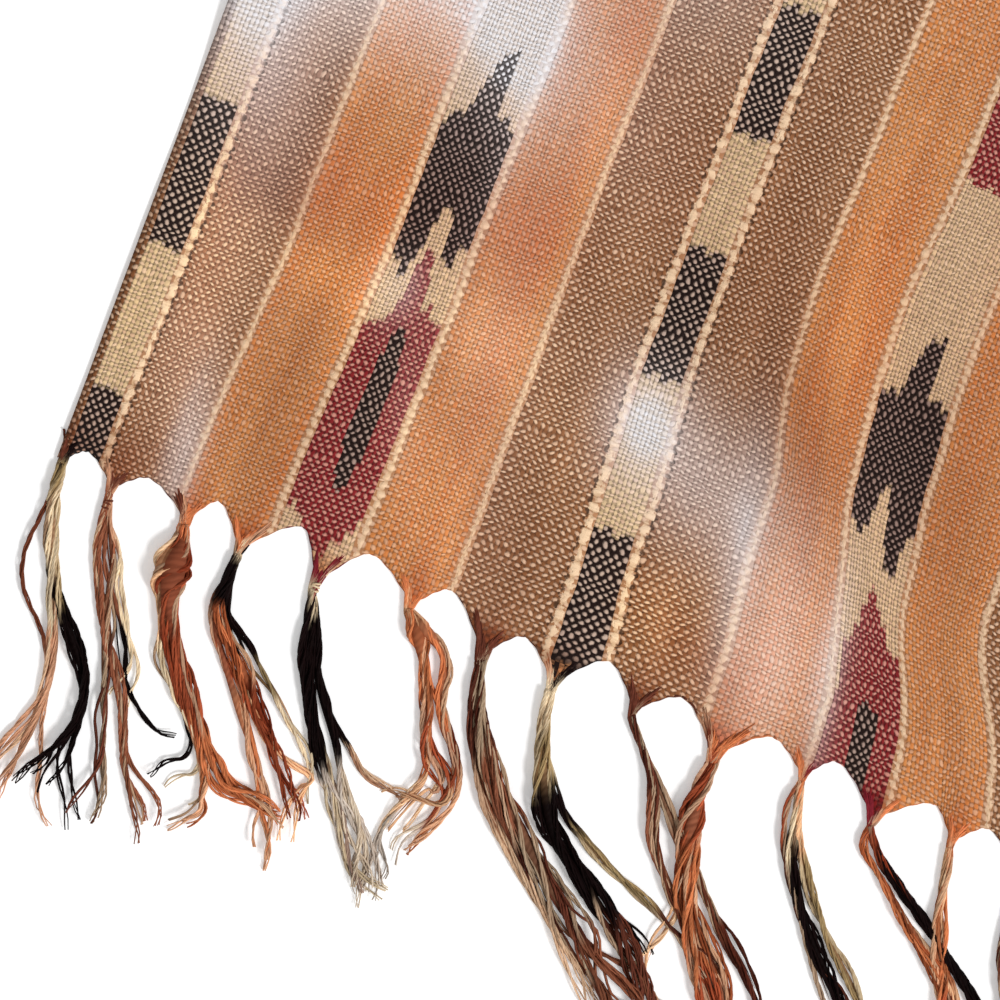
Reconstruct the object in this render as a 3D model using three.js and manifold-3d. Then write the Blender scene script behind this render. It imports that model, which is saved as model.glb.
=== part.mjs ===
// Handwoven ikat scarf lying flat, in millimetres, +Z up.
// One sheet of cloth runs along Y. Its warp ends are gathered into a row of knotted tassels
// at the near hem (-Y) and at the far hem (+Y). The whole scarf is one rigid body.
import * as THREE from "three";
import { mergeVertices } from "three/addons/utils/BufferGeometryUtils.js";
import Module from "manifold-3d";

const wasm = await Module();
wasm.setup();

// Driving dimensions. Plan places are measured from the near left corner of the cloth.
const CLOTH_WIDTH = 447; // four stripe repeats and one selvedge stripe
const CLOTH_LENGTH = 1600;
const CLOTH_WALL = 1.3;
const SEAM_GAP = 0.3; // between the cloth's points and the tassels' heads
const FLOOR_GAP = 0.3; // under tassels, so that only the cloth carries the weight

const GRID_COLUMNS = 36;
const GRID_ROWS = 26;
const ROW_CROWDING = 0.11; // rows lie closer together towards both hems
const HEM_MARGIN = 8; // from the grid's outer rows to the nominal hem line
const HEM_CALM = 48; // folds die away within this distance of a hem
const REST_CUT = 0.9; // fold height that the cloth's weight presses flat
const REST_SOFTNESS = 2.5;
const HEM_FLAT = 4; // beside a hem the cloth lies wholly flat for this far

// Plan of the cloth. The warp spreads by the near hem, to the left of turnAt by up to left
// and to its right by up to right, over a depth that shrinks to the right. The selvedges
// sway past the calm start, the width breathes, and the hems bow outwards.
const SPREAD = { turnAt: 75, left: 3, right: 15.5, grows: 115, fadesFrom: 200, start: 2 };
const SPREAD_DEPTH = { full: 65, less: 25, shrinksFrom: 135, within: 45 };
const SWAY = { size: 5, halfWave: 420, calm: 60, grows: 240 };
const BREATH = { share: 0.012, wave: 800 };
const BOW = { from: 60, near: 8, nearFades: 700, far: 6, farFrom: 1000 };

const TASSELS_PER_HEM = 27;
const POINT_WIDTH = 2.4; // a gathered point of the hem, where it meets its tassel
const ARCH_RISE = 3; // from the nominal hem line up to the top of an arch
const ARCH_STATIONS = [0.14, 0.5, 0.86]; // shares of the span between two points
const HEAD = { length: 6, width: 6.2, height: 3.8, sides: 8, neck: 0.4 };
const LOCK = { radius: 0.8, steps: 4, sides: 3, perTassel: 4, stagger: 1.3, arch: 0.6 };
const LOCK_FAN = { root: 1.5, bend: 2.9, tip: 3.7 }; // half the fan's width at each place
const LOCK_TRIM = 3.5; // most that a lock is shorter or longer than its tassel

// Folds of the cloth: middle of the crest, turn of the crest from +Y (degrees,
// anticlockwise), half length, half width and height.
const FOLDS = [
  { x: 146, y: 50, turn: 45, reach: 52, width: 17, height: 8.5 },
  { x: 40, y: 158, turn: -62, reach: 110, width: 34, height: 8 },
  { x: 222, y: 118, turn: 14, reach: 100, width: 22, height: 11 },
  { x: 312, y: 84, turn: -24, reach: 74, width: 20, height: 8 },
  { x: 400, y: 150, turn: 20, reach: 110, width: 22, height: 10 },
  { x: 118, y: 262, turn: 10, reach: 120, width: 26, height: 9 },
  { x: 318, y: 330, turn: 36, reach: 120, width: 24, height: 12 },
  { x: 46, y: 420, turn: 24, reach: 96, width: 22, height: 9 },
  { x: 190, y: 500, turn: -18, reach: 140, width: 26, height: 12 },
  { x: 402, y: 540, turn: -30, reach: 92, width: 20, height: 9 },
  { x: 84, y: 668, turn: -38, reach: 104, width: 24, height: 10 },
  { x: 296, y: 712, turn: 12, reach: 150, width: 25, height: 13 },
  { x: 158, y: 846, turn: 30, reach: 130, width: 24, height: 11 },
  { x: 396, y: 880, turn: 22, reach: 96, width: 22, height: 9 },
  { x: 52, y: 950, turn: -14, reach: 90, width: 20, height: 8 },
  { x: 268, y: 1018, turn: -34, reach: 126, width: 26, height: 12 },
  { x: 118, y: 1130, turn: 16, reach: 132, width: 24, height: 11 },
  { x: 384, y: 1182, turn: -12, reach: 116, width: 22, height: 10 },
  { x: 236, y: 1268, turn: 40, reach: 104, width: 23, height: 10 },
  { x: 60, y: 1352, turn: -26, reach: 92, width: 21, height: 9 },
  { x: 338, y: 1424, turn: -20, reach: 108, width: 22, height: 11 },
  { x: 168, y: 1470, turn: 12, reach: 84, width: 20, height: 9 },
];

// Tassels of the near hem from its left corner: where the warp gathers, where the locks
// bend and where they end.
const NEAR_TASSELS = [
  { x: 1.2, y: -3, bendX: 5, bendY: -34, tipX: 21, tipY: -75 },
  { x: 13, y: -5, bendX: 19, bendY: -36, tipX: 40, tipY: -72 },
  { x: 30, y: -6, bendX: 34, bendY: -38, tipX: 57, tipY: -68 },
  { x: 42.5, y: -8, bendX: 51, bendY: -38, tipX: 73, tipY: -66 },
  { x: 60, y: -9, bendX: 66, bendY: -40, tipX: 93, tipY: -75 },
  { x: 80.5, y: -6, bendX: 88, bendY: -36, tipX: 111, tipY: -68 },
  { x: 98, y: -10, bendX: 103, bendY: -38, tipX: 141, tipY: -72 },
  { x: 114, y: -10, bendX: 121, bendY: -42, tipX: 157, tipY: -72 },
  { x: 132, y: -10, bendX: 142, bendY: -40, tipX: 175, tipY: -76 },
  { x: 151, y: -12, bendX: 158, bendY: -42, tipX: 191, tipY: -76 },
  { x: 170, y: -11, bendX: 175, bendY: -40, tipX: 207, tipY: -78 },
  { x: 187, y: -13, bendX: 197, bendY: -40, tipX: 225, tipY: -76 },
  { x: 204, y: -13, bendX: 212, bendY: -42, tipX: 240, tipY: -78 },
];

// Drape of the tassels that the table above leaves out, from the place where they gather.
const DRAPE = { root: 9, bendX: 8, bendY: 32, tipX: 32, tipY: 68 };
const DRAPE_SWAY = { x: 1.2, root: 2, bend: 2, tipX: 4, tipY: 3 };

// Yarn of a tassel by where it hangs in the repeat of warp stripes.
const STRIPE_REPEAT = 109;
const YARN_BY_STRIPE = [
  { until: 8, yarn: "yarn_black" },
  { until: 26, yarn: "yarn_brown" },
  { until: 50, yarn: "yarn_orange" },
  { until: 68, yarn: "yarn_burgundy" },
  { until: 90, yarn: "yarn_orange" },
  { until: 106, yarn: "yarn_brown" },
  { until: STRIPE_REPEAT, yarn: "yarn_black" },
];

const MATERIALS = {
  woven_cloth: cottonOf(0xb5835c),
  yarn_black: cottonOf(0x2a1f1c),
  yarn_brown: cottonOf(0x6b4632),
  yarn_orange: cottonOf(0xb9683a),
  yarn_burgundy: cottonOf(0x6e2228),
};

function cottonOf(color) {
  return new THREE.MeshStandardMaterial({ color, roughness: 0.85, metalness: 0 });
}

// Rises from 0 to 1 as t does, with level ends.
function smooth(t) {
  const s = THREE.MathUtils.clamp(t, 0, 1);
  return s * s * (3 - 2 * s);
}

// How far the warp end u across has spread sideways at v along.
function spread(u, v) {
  const depth =
    SPREAD_DEPTH.full - SPREAD_DEPTH.less * smooth((u - SPREAD_DEPTH.shrinksFrom) / SPREAD_DEPTH.within);
  const left = u < SPREAD.turnAt ? -SPREAD.left * Math.sin((Math.PI * u) / SPREAD.turnAt) : 0;
  const fade = 1 - smooth((u - SPREAD.fadesFrom) / (CLOTH_WIDTH - SPREAD.fadesFrom));
  const right = SPREAD.right * smooth((u - SPREAD.turnAt) / SPREAD.grows) * fade;
  return (left + right) * (1 - smooth((v - SPREAD.start) / depth));
}

// Plan place of the cloth's point that lies u across and v along.
function planOf(u, v) {
  const past = smooth((v - SWAY.calm) / SWAY.grows);
  const sway = SWAY.size * past * Math.sin((Math.PI * (v - SWAY.calm)) / SWAY.halfWave);
  const breath = 1 - BREATH.share * past * (1 - Math.cos((2 * Math.PI * v) / BREATH.wave));
  const bowShare = THREE.MathUtils.clamp((u - BOW.from) / (CLOTH_WIDTH - BOW.from), 0, 1);
  const bow = Math.sin(Math.PI * bowShare) ** 2;
  const nearness = 1 - smooth(v / BOW.nearFades);
  const farness = smooth((v - BOW.farFrom) / (CLOTH_LENGTH - BOW.farFrom));
  return {
    x: u * breath + spread(u, v) + sway,
    y: v + bow * (BOW.far * farness - BOW.near * nearness),
  };
}

// Height of the cloth's underside: its folds added up, less what its weight presses flat.
function liftAt({ x, y }) {
  let height = -REST_CUT;
  for (const fold of FOLDS) {
    const turn = THREE.MathUtils.degToRad(fold.turn);
    const dx = x - fold.x;
    const dy = y - fold.y;
    const along = (dy * Math.cos(turn) - dx * Math.sin(turn)) / fold.reach;
    const across = (dx * Math.cos(turn) + dy * Math.sin(turn)) / fold.width;
    height += fold.height * Math.exp(-(across ** 2) - along ** 4);
  }
  const calm =
    smooth((y - HEM_FLAT) / HEM_CALM) * smooth((CLOTH_LENGTH - HEM_FLAT - y) / HEM_CALM);
  const free = Math.max(height, 0) * calm;
  return free ** 2 / (free + REST_SOFTNESS);
}

// Evenly spaced tassels that follow one drape with a slow sway, below a hem whose nominal
// line is hemY. The first and the last keep their places.
function drapedTassels({ from, to, count, phase, hemY }) {
  return Array.from({ length: count }, (_, i) => {
    const beat = phase + i;
    const inner = i > 0 && i < count - 1 ? 1 : 0;
    const x = THREE.MathUtils.lerp(from, to, i / (count - 1)) + inner * DRAPE_SWAY.x * Math.sin(4.1 * beat);
    const y = hemY(x) - DRAPE.root - DRAPE_SWAY.root * Math.sin(2.3 * beat);
    return {
      x,
      y,
      bendX: x + DRAPE.bendX + DRAPE_SWAY.bend * Math.sin(1.7 * beat),
      bendY: y - DRAPE.bendY,
      tipX: x + DRAPE.tipX + DRAPE_SWAY.tipX * Math.sin(0.9 * beat),
      tipY: y - DRAPE.tipY - DRAPE_SWAY.tipY * Math.sin(3.7 * beat),
    };
  });
}

function nearTassels() {
  const to = CLOTH_WIDTH - POINT_WIDTH / 2;
  const count = TASSELS_PER_HEM - NEAR_TASSELS.length;
  const lastX = NEAR_TASSELS.at(-1).x;
  const from = lastX + (to - lastX) / count;
  return [...NEAR_TASSELS, ...drapedTassels({ from, to, count, phase: 1, hemY: nearHemY })];
}

function farTassels() {
  const from = planOf(0, CLOTH_LENGTH).x + POINT_WIDTH / 2;
  const to = planOf(CLOTH_WIDTH, CLOTH_LENGTH).x - POINT_WIDTH / 2;
  return drapedTassels({ from, to, count: TASSELS_PER_HEM, phase: 20, hemY: farHemY });
}

// Nominal hem lines. The far one is in the far hem's own plan, which is mirrored over the
// cloth's length, so that both hems have their tassels on the negative side.
function nearHemY(x) {
  return planOf(x, 0).y;
}

function farHemY(x) {
  return CLOTH_LENGTH - planOf(x, CLOTH_LENGTH).y;
}

// Hem between the tassels: round arches whose feet are the gathered points.
function hemLine(row, hemY) {
  const line = [];
  row.forEach((tassel, i) => {
    const from = tassel.x + POINT_WIDTH / 2;
    line.push({ x: tassel.x - POINT_WIDTH / 2, y: tassel.y }, { x: from, y: tassel.y });
    const next = row[i + 1];
    if (!next) return;
    const span = next.x - POINT_WIDTH / 2 - from;
    for (const share of ARCH_STATIONS) {
      const arch = Math.sqrt(1 - (2 * share - 1) ** 2);
      const feet = THREE.MathUtils.lerp(tassel.y, next.y, share);
      const x = from + span * share;
      line.push({ x, y: THREE.MathUtils.lerp(feet, hemY(x) + ARCH_RISE, arch) });
    }
  });
  return line;
}

// Triangles between two lines of points that both run left to right, the upper one
// further along +Y.
function stitch(upper, lower, points, faces) {
  let i = 0;
  let j = 0;
  while (i < upper.length - 1 || j < lower.length - 1) {
    const upperNext = i < upper.length - 1 ? points[upper[i + 1]].x : Infinity;
    const lowerNext = j < lower.length - 1 ? points[lower[j + 1]].x : Infinity;
    if (upperNext < lowerNext) {
      faces.push([upper[i], lower[j], upper[i + 1]]);
      i += 1;
    } else {
      faces.push([upper[i], lower[j], lower[j + 1]]);
      j += 1;
    }
  }
}

// The edges that belong to one triangle only, in that triangle's direction.
function rimEdges(faces) {
  const edges = new Set();
  for (const [a, b, c] of faces) {
    edges.add(`${a} ${b}`).add(`${b} ${c}`).add(`${c} ${a}`);
  }
  return [...edges]
    .map((edge) => edge.split(" ").map(Number))
    .filter(([a, b]) => !edges.has(`${b} ${a}`));
}

// Closed wall of cloth: the plan's triangles as an underside and a face, joined at the rim.
function clothWall(points, faces) {
  const count = points.length;
  const positions = [];
  for (const raise of [0, CLOTH_WALL]) {
    for (const point of points) positions.push(point.x, point.y, liftAt(point) + raise);
  }
  const index = faces.flatMap(([a, b, c]) => [c, b, a, a + count, b + count, c + count]);
  for (const [a, b] of rimEdges(faces)) {
    index.push(a, b, b + count, a, b + count, a + count);
  }
  const geometry = new THREE.BufferGeometry();
  geometry.setAttribute("position", new THREE.Float32BufferAttribute(positions, 3));
  geometry.setIndex(index);
  geometry.computeVertexNormals();
  return geometry;
}

function buildCloth(nearRow, farRow) {
  const points = [];
  const faces = [];
  const addLine = (line) => line.map((point) => points.push(point) - 1);
  const nearHem = addLine(hemLine(nearRow, nearHemY));
  const rows = [];
  for (let r = 0; r < GRID_ROWS; r += 1) {
    const share = r / (GRID_ROWS - 1);
    const crowded = share - ROW_CROWDING * Math.sin(2 * Math.PI * share);
    const v = HEM_MARGIN + (CLOTH_LENGTH - 2 * HEM_MARGIN) * crowded;
    const line = [];
    for (let c = 0; c <= GRID_COLUMNS; c += 1) line.push(planOf((CLOTH_WIDTH * c) / GRID_COLUMNS, v));
    rows.push(addLine(line));
  }
  const farHem = addLine(hemLine(farRow, farHemY).map(({ x, y }) => ({ x, y: CLOTH_LENGTH - y })));
  stitch(rows[0], nearHem, points, faces);
  for (let r = 1; r < GRID_ROWS; r += 1) stitch(rows[r], rows[r - 1], points, faces);
  stitch(farHem, rows.at(-1), points, faces);
  return named("cloth", clothWall(points, faces), "woven_cloth");
}

function toSolid(geometry) {
  const bare = new THREE.BufferGeometry();
  bare.setAttribute("position", geometry.getAttribute("position"));
  if (geometry.index) bare.setIndex(geometry.index);
  const merged = mergeVertices(bare, 1e-4);
  return new wasm.Manifold(
    new wasm.Mesh({
      numProp: 3,
      vertProperties: merged.getAttribute("position").array,
      triVerts: new Uint32Array(merged.index.array),
    }),
  );
}

function fromSolid(solid) {
  const mesh = solid.getMesh();
  const geometry = new THREE.BufferGeometry();
  geometry.setAttribute("position", new THREE.BufferAttribute(mesh.vertProperties, 3));
  geometry.setIndex(new THREE.BufferAttribute(mesh.triVerts, 1));
  geometry.computeVertexNormals();
  return geometry;
}

// The gathered head: a flattened cone that widens from its neck at the cloth's point.
function headSolid(tassel) {
  const head = new THREE.CylinderGeometry(HEAD.neck / 2, 0.5, 1, HEAD.sides);
  head.scale(HEAD.width, HEAD.length, HEAD.height);
  head.translate(tassel.x, tassel.y - SEAM_GAP - HEAD.length / 2, HEAD.height / 2 + FLOOR_GAP);
  return toSolid(head);
}

// One lock of yarn from inside the head to its free end. Its place in the fan, side, runs
// from -1 to 1, and every other lock leaves the head higher, so that they stand apart.
function lockSolid(tassel, side, rank) {
  const turn = Math.atan2(tassel.tipY - tassel.y, tassel.tipX - tassel.x);
  const low = LOCK.radius + FLOOR_GAP;
  const raised = low + (rank % 2) * LOCK.stagger;
  const trim = LOCK_TRIM * Math.sin(2.6 * rank + tassel.x);
  const fanned = (x, y, halfWidth, z) =>
    new THREE.Vector3(x - Math.sin(turn) * side * halfWidth, y + Math.cos(turn) * side * halfWidth, z);
  const route = new THREE.QuadraticBezierCurve3(
    fanned(tassel.x, tassel.y - SEAM_GAP - HEAD.length / 2, LOCK_FAN.root, raised),
    fanned(tassel.bendX, tassel.bendY, LOCK_FAN.bend, raised + LOCK.arch),
    fanned(tassel.tipX - trim * Math.cos(turn), tassel.tipY - trim * Math.sin(turn), LOCK_FAN.tip, low),
  );
  const corners = Array.from({ length: LOCK.sides }, (_, i) => {
    const angle = (2 * Math.PI * i) / LOCK.sides;
    return new THREE.Vector2(LOCK.radius * Math.cos(angle), LOCK.radius * Math.sin(angle));
  });
  const settings = { steps: LOCK.steps, bevelEnabled: false, extrudePath: route };
  return toSolid(new THREE.ExtrudeGeometry(new THREE.Shape(corners), settings));
}

// Yarn of the stripe that holds the warp end u across the cloth.
function yarnAt(u) {
  const place = u % STRIPE_REPEAT;
  return YARN_BY_STRIPE.find((stripe) => place < stripe.until).yarn;
}

// One tassel as it lies below its hem, with the warp ends around u.
function buildTassel(tassel, u, name) {
  let solid = headSolid(tassel);
  for (let rank = 0; rank < LOCK.perTassel; rank += 1) {
    const side = (2 * rank) / (LOCK.perTassel - 1) - 1;
    solid = solid.add(lockSolid(tassel, side, rank));
  }
  return named(name, fromSolid(solid), yarnAt(u));
}

function named(name, geometry, slot) {
  const mesh = new THREE.Mesh(geometry, MATERIALS[slot]);
  mesh.name = name;
  return mesh;
}

function numbered(word, i) {
  return `${word}_${String(i + 1).padStart(2, "0")}`;
}

function buildScarf() {
  const nearRow = nearTassels();
  const farRow = farTassels();
  const scarf = new THREE.Group();
  scarf.add(buildCloth(nearRow, farRow));
  nearRow.forEach((tassel, i) => {
    const u = tassel.x - spread(tassel.x, 0);
    scarf.add(buildTassel(tassel, u, numbered("tassel_near", i)));
  });

  // A far tassel is made in its mirrored plan, so it is turned back with its faces.
  farRow.forEach((tassel, i) => {
    const u = tassel.x - planOf(0, CLOTH_LENGTH).x;
    const mesh = buildTassel(tassel, u, numbered("tassel_far", i));
    mesh.geometry.scale(1, -1, 1);
    mesh.geometry.translate(0, CLOTH_LENGTH, 0);
    mesh.geometry.index.array.reverse();
    scarf.add(mesh);
  });

  // The part's origin is the middle of its footprint, on the surface that it lies on.
  const box = new THREE.Box3().setFromObject(scarf);
  scarf.position.set(-(box.min.x + box.max.x) / 2, -(box.min.y + box.max.y) / 2, -box.min.z);
  return new THREE.Group().add(scarf);
}

export default buildScarf();
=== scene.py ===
import math
from types import SimpleNamespace

import bpy
import numpy as np
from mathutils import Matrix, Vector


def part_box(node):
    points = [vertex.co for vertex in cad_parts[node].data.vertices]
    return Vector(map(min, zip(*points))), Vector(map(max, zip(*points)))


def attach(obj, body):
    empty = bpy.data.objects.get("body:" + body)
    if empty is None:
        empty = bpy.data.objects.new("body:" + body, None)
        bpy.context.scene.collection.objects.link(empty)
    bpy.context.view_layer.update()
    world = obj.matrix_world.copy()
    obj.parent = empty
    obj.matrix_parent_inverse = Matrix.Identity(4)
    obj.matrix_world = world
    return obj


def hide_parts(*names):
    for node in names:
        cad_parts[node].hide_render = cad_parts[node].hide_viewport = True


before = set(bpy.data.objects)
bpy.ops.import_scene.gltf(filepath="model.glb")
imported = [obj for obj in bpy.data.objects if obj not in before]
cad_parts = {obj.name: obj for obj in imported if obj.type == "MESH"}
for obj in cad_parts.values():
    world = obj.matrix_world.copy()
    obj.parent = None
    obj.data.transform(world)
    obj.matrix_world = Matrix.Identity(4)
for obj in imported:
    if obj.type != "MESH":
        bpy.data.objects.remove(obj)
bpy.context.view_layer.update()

# All shapes are worked out in millimetres from the near left corner of the cloth.
mm = 0.001
chance = np.random.default_rng(41)


def smooth(t):
    # Rises from 0 to 1 as t does, with level ends.
    s = np.clip(t, 0, 1)
    return s * s * (3 - 2 * s)


def blendOf(a, b, share):
    return a + (b - a) * share


def linear(red, green, blue):
    # A colour given as 0 to 255 on a screen, as the shader wants it.
    part = np.array([red, green, blue]) / 255
    return tuple(np.where(part < 0.04045, part / 12.92, ((part + 0.055) / 1.055) ** 2.4).tolist())


# ---- the loom: stripes, folds and the plan of the cloth

cloth = {
    "width": 447.0,
    "length": 1600.0,
    "wall": 1.0,
    "pickPitch": 1.05,
    "columnsPerTassel": 8,
    "hemRows": 8,
    "bodyRows": 208,
    "rowCrowding": 0.118,
    "hemTop": 10.0,  # the hem's rows lie below this height over the nominal hem line
    "archRise": 0.4,
    "archSkew": 0.14,
    "archRound": 0.42,  # 0 for an arch of straight flanks, more for a rounder one
    "footShare": 0.92,  # how far down to a knot the woven point reaches
    "ripple": 0.28,
    "pucker": 0.55,
    "puckerReach": 13.0,
    "puckerWidth": (1.6, 3.2),  # at a point, and how much wider for each reach above it
    "lowestFine": -0.45,  # ripples and puckers dig no deeper into the wall
}

# One repeat of the warp: the stripe's kind, its ends and their pitch.
repeatStripes = [
    ("border", 2, 1.25), ("brown", 20, 0.84), ("border", 2, 1.25), ("orange", 21, 0.82),
    ("border", 2, 1.25), ("flame", 19, 0.78), ("border", 2, 1.25), ("orange", 21, 0.82),
    ("border", 2, 1.25), ("brown", 21, 0.86), ("border", 2, 1.25), ("block", 9, 0.93),
]
firstStripes = [("brown", 2, 1.0), ("block", 8, 0.95)]
lastStripes = [("brown", 7, 1.1)]
repeats = 4
repeatEnds = sum(ends for kind, ends, pitch in repeatStripes)
firstEnds = sum(ends for kind, ends, pitch in firstStripes)

stripes = firstStripes + repeatStripes * repeats + lastStripes
endKinds = [kind for kind, ends, pitch in stripes for _ in range(ends)]
endPlaces = np.cumsum([0] + [pitch for kind, ends, pitch in stripes for _ in range(ends)])
endPlaces *= cloth["width"] / endPlaces[-1]
endTotal = len(endKinds)


def endAt(u):
    # Number of the warp end at u across, with its share of the end's own width.
    return np.interp(u, endPlaces, np.arange(endTotal + 1))


folds = {
    "restCut": 0.9,
    "restSoftness": 2.5,
    "hemFlat": 4.0,
    "hemCalm": 48.0,
    # middle of the crest, its turn from +Y, half length, half width, height
    "crests": [
        (146, 50, 45, 52, 17, 8.5), (40, 158, -62, 110, 34, 8), (222, 118, 14, 100, 22, 11),
        (312, 84, -24, 74, 20, 8), (400, 150, 20, 110, 22, 10), (118, 262, 10, 120, 26, 9),
        (318, 330, 36, 120, 24, 12), (46, 420, 24, 96, 22, 9), (190, 500, -18, 140, 26, 12),
        (402, 540, -30, 92, 20, 9), (84, 668, -38, 104, 24, 10), (296, 712, 12, 150, 25, 13),
        (158, 846, 30, 130, 24, 11), (396, 880, 22, 96, 22, 9), (52, 950, -14, 90, 20, 8),
        (268, 1018, -34, 126, 26, 12), (118, 1130, 16, 132, 24, 11), (384, 1182, -12, 116, 22, 10),
        (236, 1268, 40, 104, 23, 10), (60, 1352, -26, 92, 21, 9), (338, 1424, -20, 108, 22, 11),
        (168, 1470, 12, 84, 20, 9),
    ],
}


clothPlan = {
    "parting": 75,  # by the near hem the warp spreads to both sides of here
    "spreadLeft": -3,
    "spreadRight": 15.5,
    "rightRise": 115,  # the spreading grows over this width and falls from there
    "rightFall": 200,
    "spreadDepth": (65, 40),  # how far up it reaches, before and past the next two
    "depthFrom": 135,
    "depthOver": 45,
    "swayFrom": 60,  # from here on the selvedges sway and the width breathes
    "swayOver": 240,
    "sway": 5,
    "swayHalf": 420,
    "breath": 0.012,
    "breathWhole": 800,
    "bowFrom": 60,
    "bowNear": 8,
    "bowFar": 6,
    "bowNearTo": 700,
    "bowFarFrom": 1000,
}


def spread(u, v):
    # The warp spreads by the near hem: a sine left of the parting, a soft step right of it.
    width, parting, fall = cloth["width"], clothPlan["parting"], clothPlan["rightFall"]
    depth = blendOf(*clothPlan["spreadDepth"], smooth((u - clothPlan["depthFrom"]) / clothPlan["depthOver"]))
    left = np.where(u < parting, clothPlan["spreadLeft"] * np.sin(np.pi * u / parting), 0)
    right = clothPlan["spreadRight"] * smooth((u - parting) / clothPlan["rightRise"])
    right = right * (1 - smooth((u - fall) / (width - fall)))
    return (left + right) * (1 - smooth((v - 2) / depth))


def planOf(u, v):
    # Place of the cloth's point u across and v along: spread, sway, breath and bowed hems.
    width, length = cloth["width"], cloth["length"]
    past = smooth((v - clothPlan["swayFrom"]) / clothPlan["swayOver"])
    sway = clothPlan["sway"] * past * np.sin(np.pi * (v - clothPlan["swayFrom"]) / clothPlan["swayHalf"])
    breath = 1 - clothPlan["breath"] * past * (1 - np.cos(2 * np.pi * v / clothPlan["breathWhole"]))
    bow = np.sin(np.pi * np.clip((u - clothPlan["bowFrom"]) / (width - clothPlan["bowFrom"]), 0, 1)) ** 2
    near = 1 - smooth(v / clothPlan["bowNearTo"])
    far = smooth((v - clothPlan["bowFarFrom"]) / (length - clothPlan["bowFarFrom"]))
    along = v + bow * (clothPlan["bowFar"] * far - clothPlan["bowNear"] * near)
    return u * breath + spread(u, v) + sway, along


def acrossOf(x, v):
    # The u whose plan place at v is x, found by a few corrections.
    u = x.copy()
    for _ in range(6):
        u = u + (x - planOf(u, v + 0 * u)[0])
    return np.clip(u, 0, cloth["width"])


def endNumber(x, v):
    # Whole number of the warp end whose plan place at v is x.
    return np.clip(endAt(acrossOf(x, v)).astype(int), 0, endTotal - 1)


# Where the warp was pulled aside on the loom: u, v, reach across and along, shift.
pulls = [
    (138, 50, 14, 16, 3.2), (160, 38, 14, 14, 1.7), (179, 42, 10, 10, 1.6), (170, 92, 30, 26, -2.3),
    (183, 3, 16, 13, -2.5), (120, 18, 10, 15, -1.3), (262, 60, 26, 20, 2.4), (330, 30, 24, 22, -2.6),
    (404, 74, 20, 26, 2.2), (66, 190, 22, 34, 1.6), (226, 210, 34, 40, -2.4), (370, 260, 30, 36, 2.6),
    (128, 420, 30, 44, 2.3), (300, 520, 34, 50, -2.8), (84, 700, 28, 50, -2.0), (220, 840, 36, 46, 2.6),
    (372, 960, 28, 48, -2.2), (120, 1100, 30, 52, 2.4), (280, 1240, 34, 44, 2.6), (390, 1400, 24, 40, -2.2),
    (96, 1440, 24, 34, 1.8), (222, 1540, 26, 24, -2.4), (340, 1570, 22, 20, 2.2),
]


def pulledFrom(u, v):
    # How far the warp is shifted: the pulls added up, as bell shapes, but none at a selvedge.
    shift = 0 * u
    for atU, atV, reachU, reachV, size in pulls:
        shift = shift + size * np.exp(-(((u - atU) / reachU) ** 2) - ((v - atV) / reachV) ** 2)
    inside = smooth(np.minimum(u, cloth["width"] - u) / 20)
    return shift * inside


def turned(x, y, turn):
    # Distances along and across a line through the origin that is turned from +Y.
    cos, sin = math.cos(math.radians(turn)), math.sin(math.radians(turn))
    return y * cos - x * sin, x * cos + y * sin


def liftAt(x, y):
    # Underside of the cloth: the crests added up, less what the weight presses flat.
    height = -folds["restCut"] + 0 * x
    for midX, midY, turn, reach, width, rise in folds["crests"]:
        along, across = turned(x - midX, y - midY, turn)
        height = height + rise * np.exp(-((across / width) ** 2) - (along / reach) ** 4)
    flat, calm = folds["hemFlat"], folds["hemCalm"]
    calmness = smooth((y - flat) / calm) * smooth((cloth["length"] - flat - y) / calm)
    free = np.maximum(height, 0) * calmness
    return free**2 / (free + folds["restSoftness"])


# ---- where the warp is gathered into tassels

tassels = {
    "perHem": 27,
    "pointWidth": 2.4,
    "drop": 9,  # how far under the hem the others' points lie, and their bends and tips
    "bendBy": (8, 32),
    "tipBy": (32, 68),
    # the near hem's first tassels: gathering point, bend and tip of its locks
    "near": [
        (1.2, -3, 5, -34, 21, -75), (13, -5, 19, -36, 40, -72), (30, -6, 34, -38, 57, -68),
        (42.5, -8, 51, -38, 73, -66), (60, -9, 66, -40, 93, -75), (80.5, -6, 88, -36, 111, -68),
        (98, -11, 103, -38, 141, -72), (114, -11.5, 121, -42, 157, -72), (132, -10.5, 142, -40, 175, -76),
        (151, -14, 158, -42, 191, -76), (170, -11, 175, -40, 207, -78), (187, -14.5, 197, -40, 225, -76),
        (204, -13, 212, -42, 240, -78),
    ],
    # tops of the arches between them
    "arches": [
        (5.5, 0.7), (19.5, 0), (35, 0.6), (53.5, 1.7), (69, 1.4), (87, 0.2), (105, -3.6), (123.5, -2.2),
        (140.5, -4), (161.5, -5.1), (175.5, -5.2), (198, -6.4),
    ],
}

# The two hems, which get their rows of tassels and the arches between them below.
nearHem = {"word": "near", "v": 0.0}
farHem = {"word": "far", "v": cloth["length"]}


def fromHem(hem, y):
    # Height over the hem's nominal line; the far hem is a mirror image over the length.
    return cloth["length"] - y if hem is farHem else y


def hemY(hem, x):
    # Height over the nominal line of the hem's line in the plan, which bows a little.
    return fromHem(hem, planOf(x, hem["v"] + 0 * x)[1])


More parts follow.
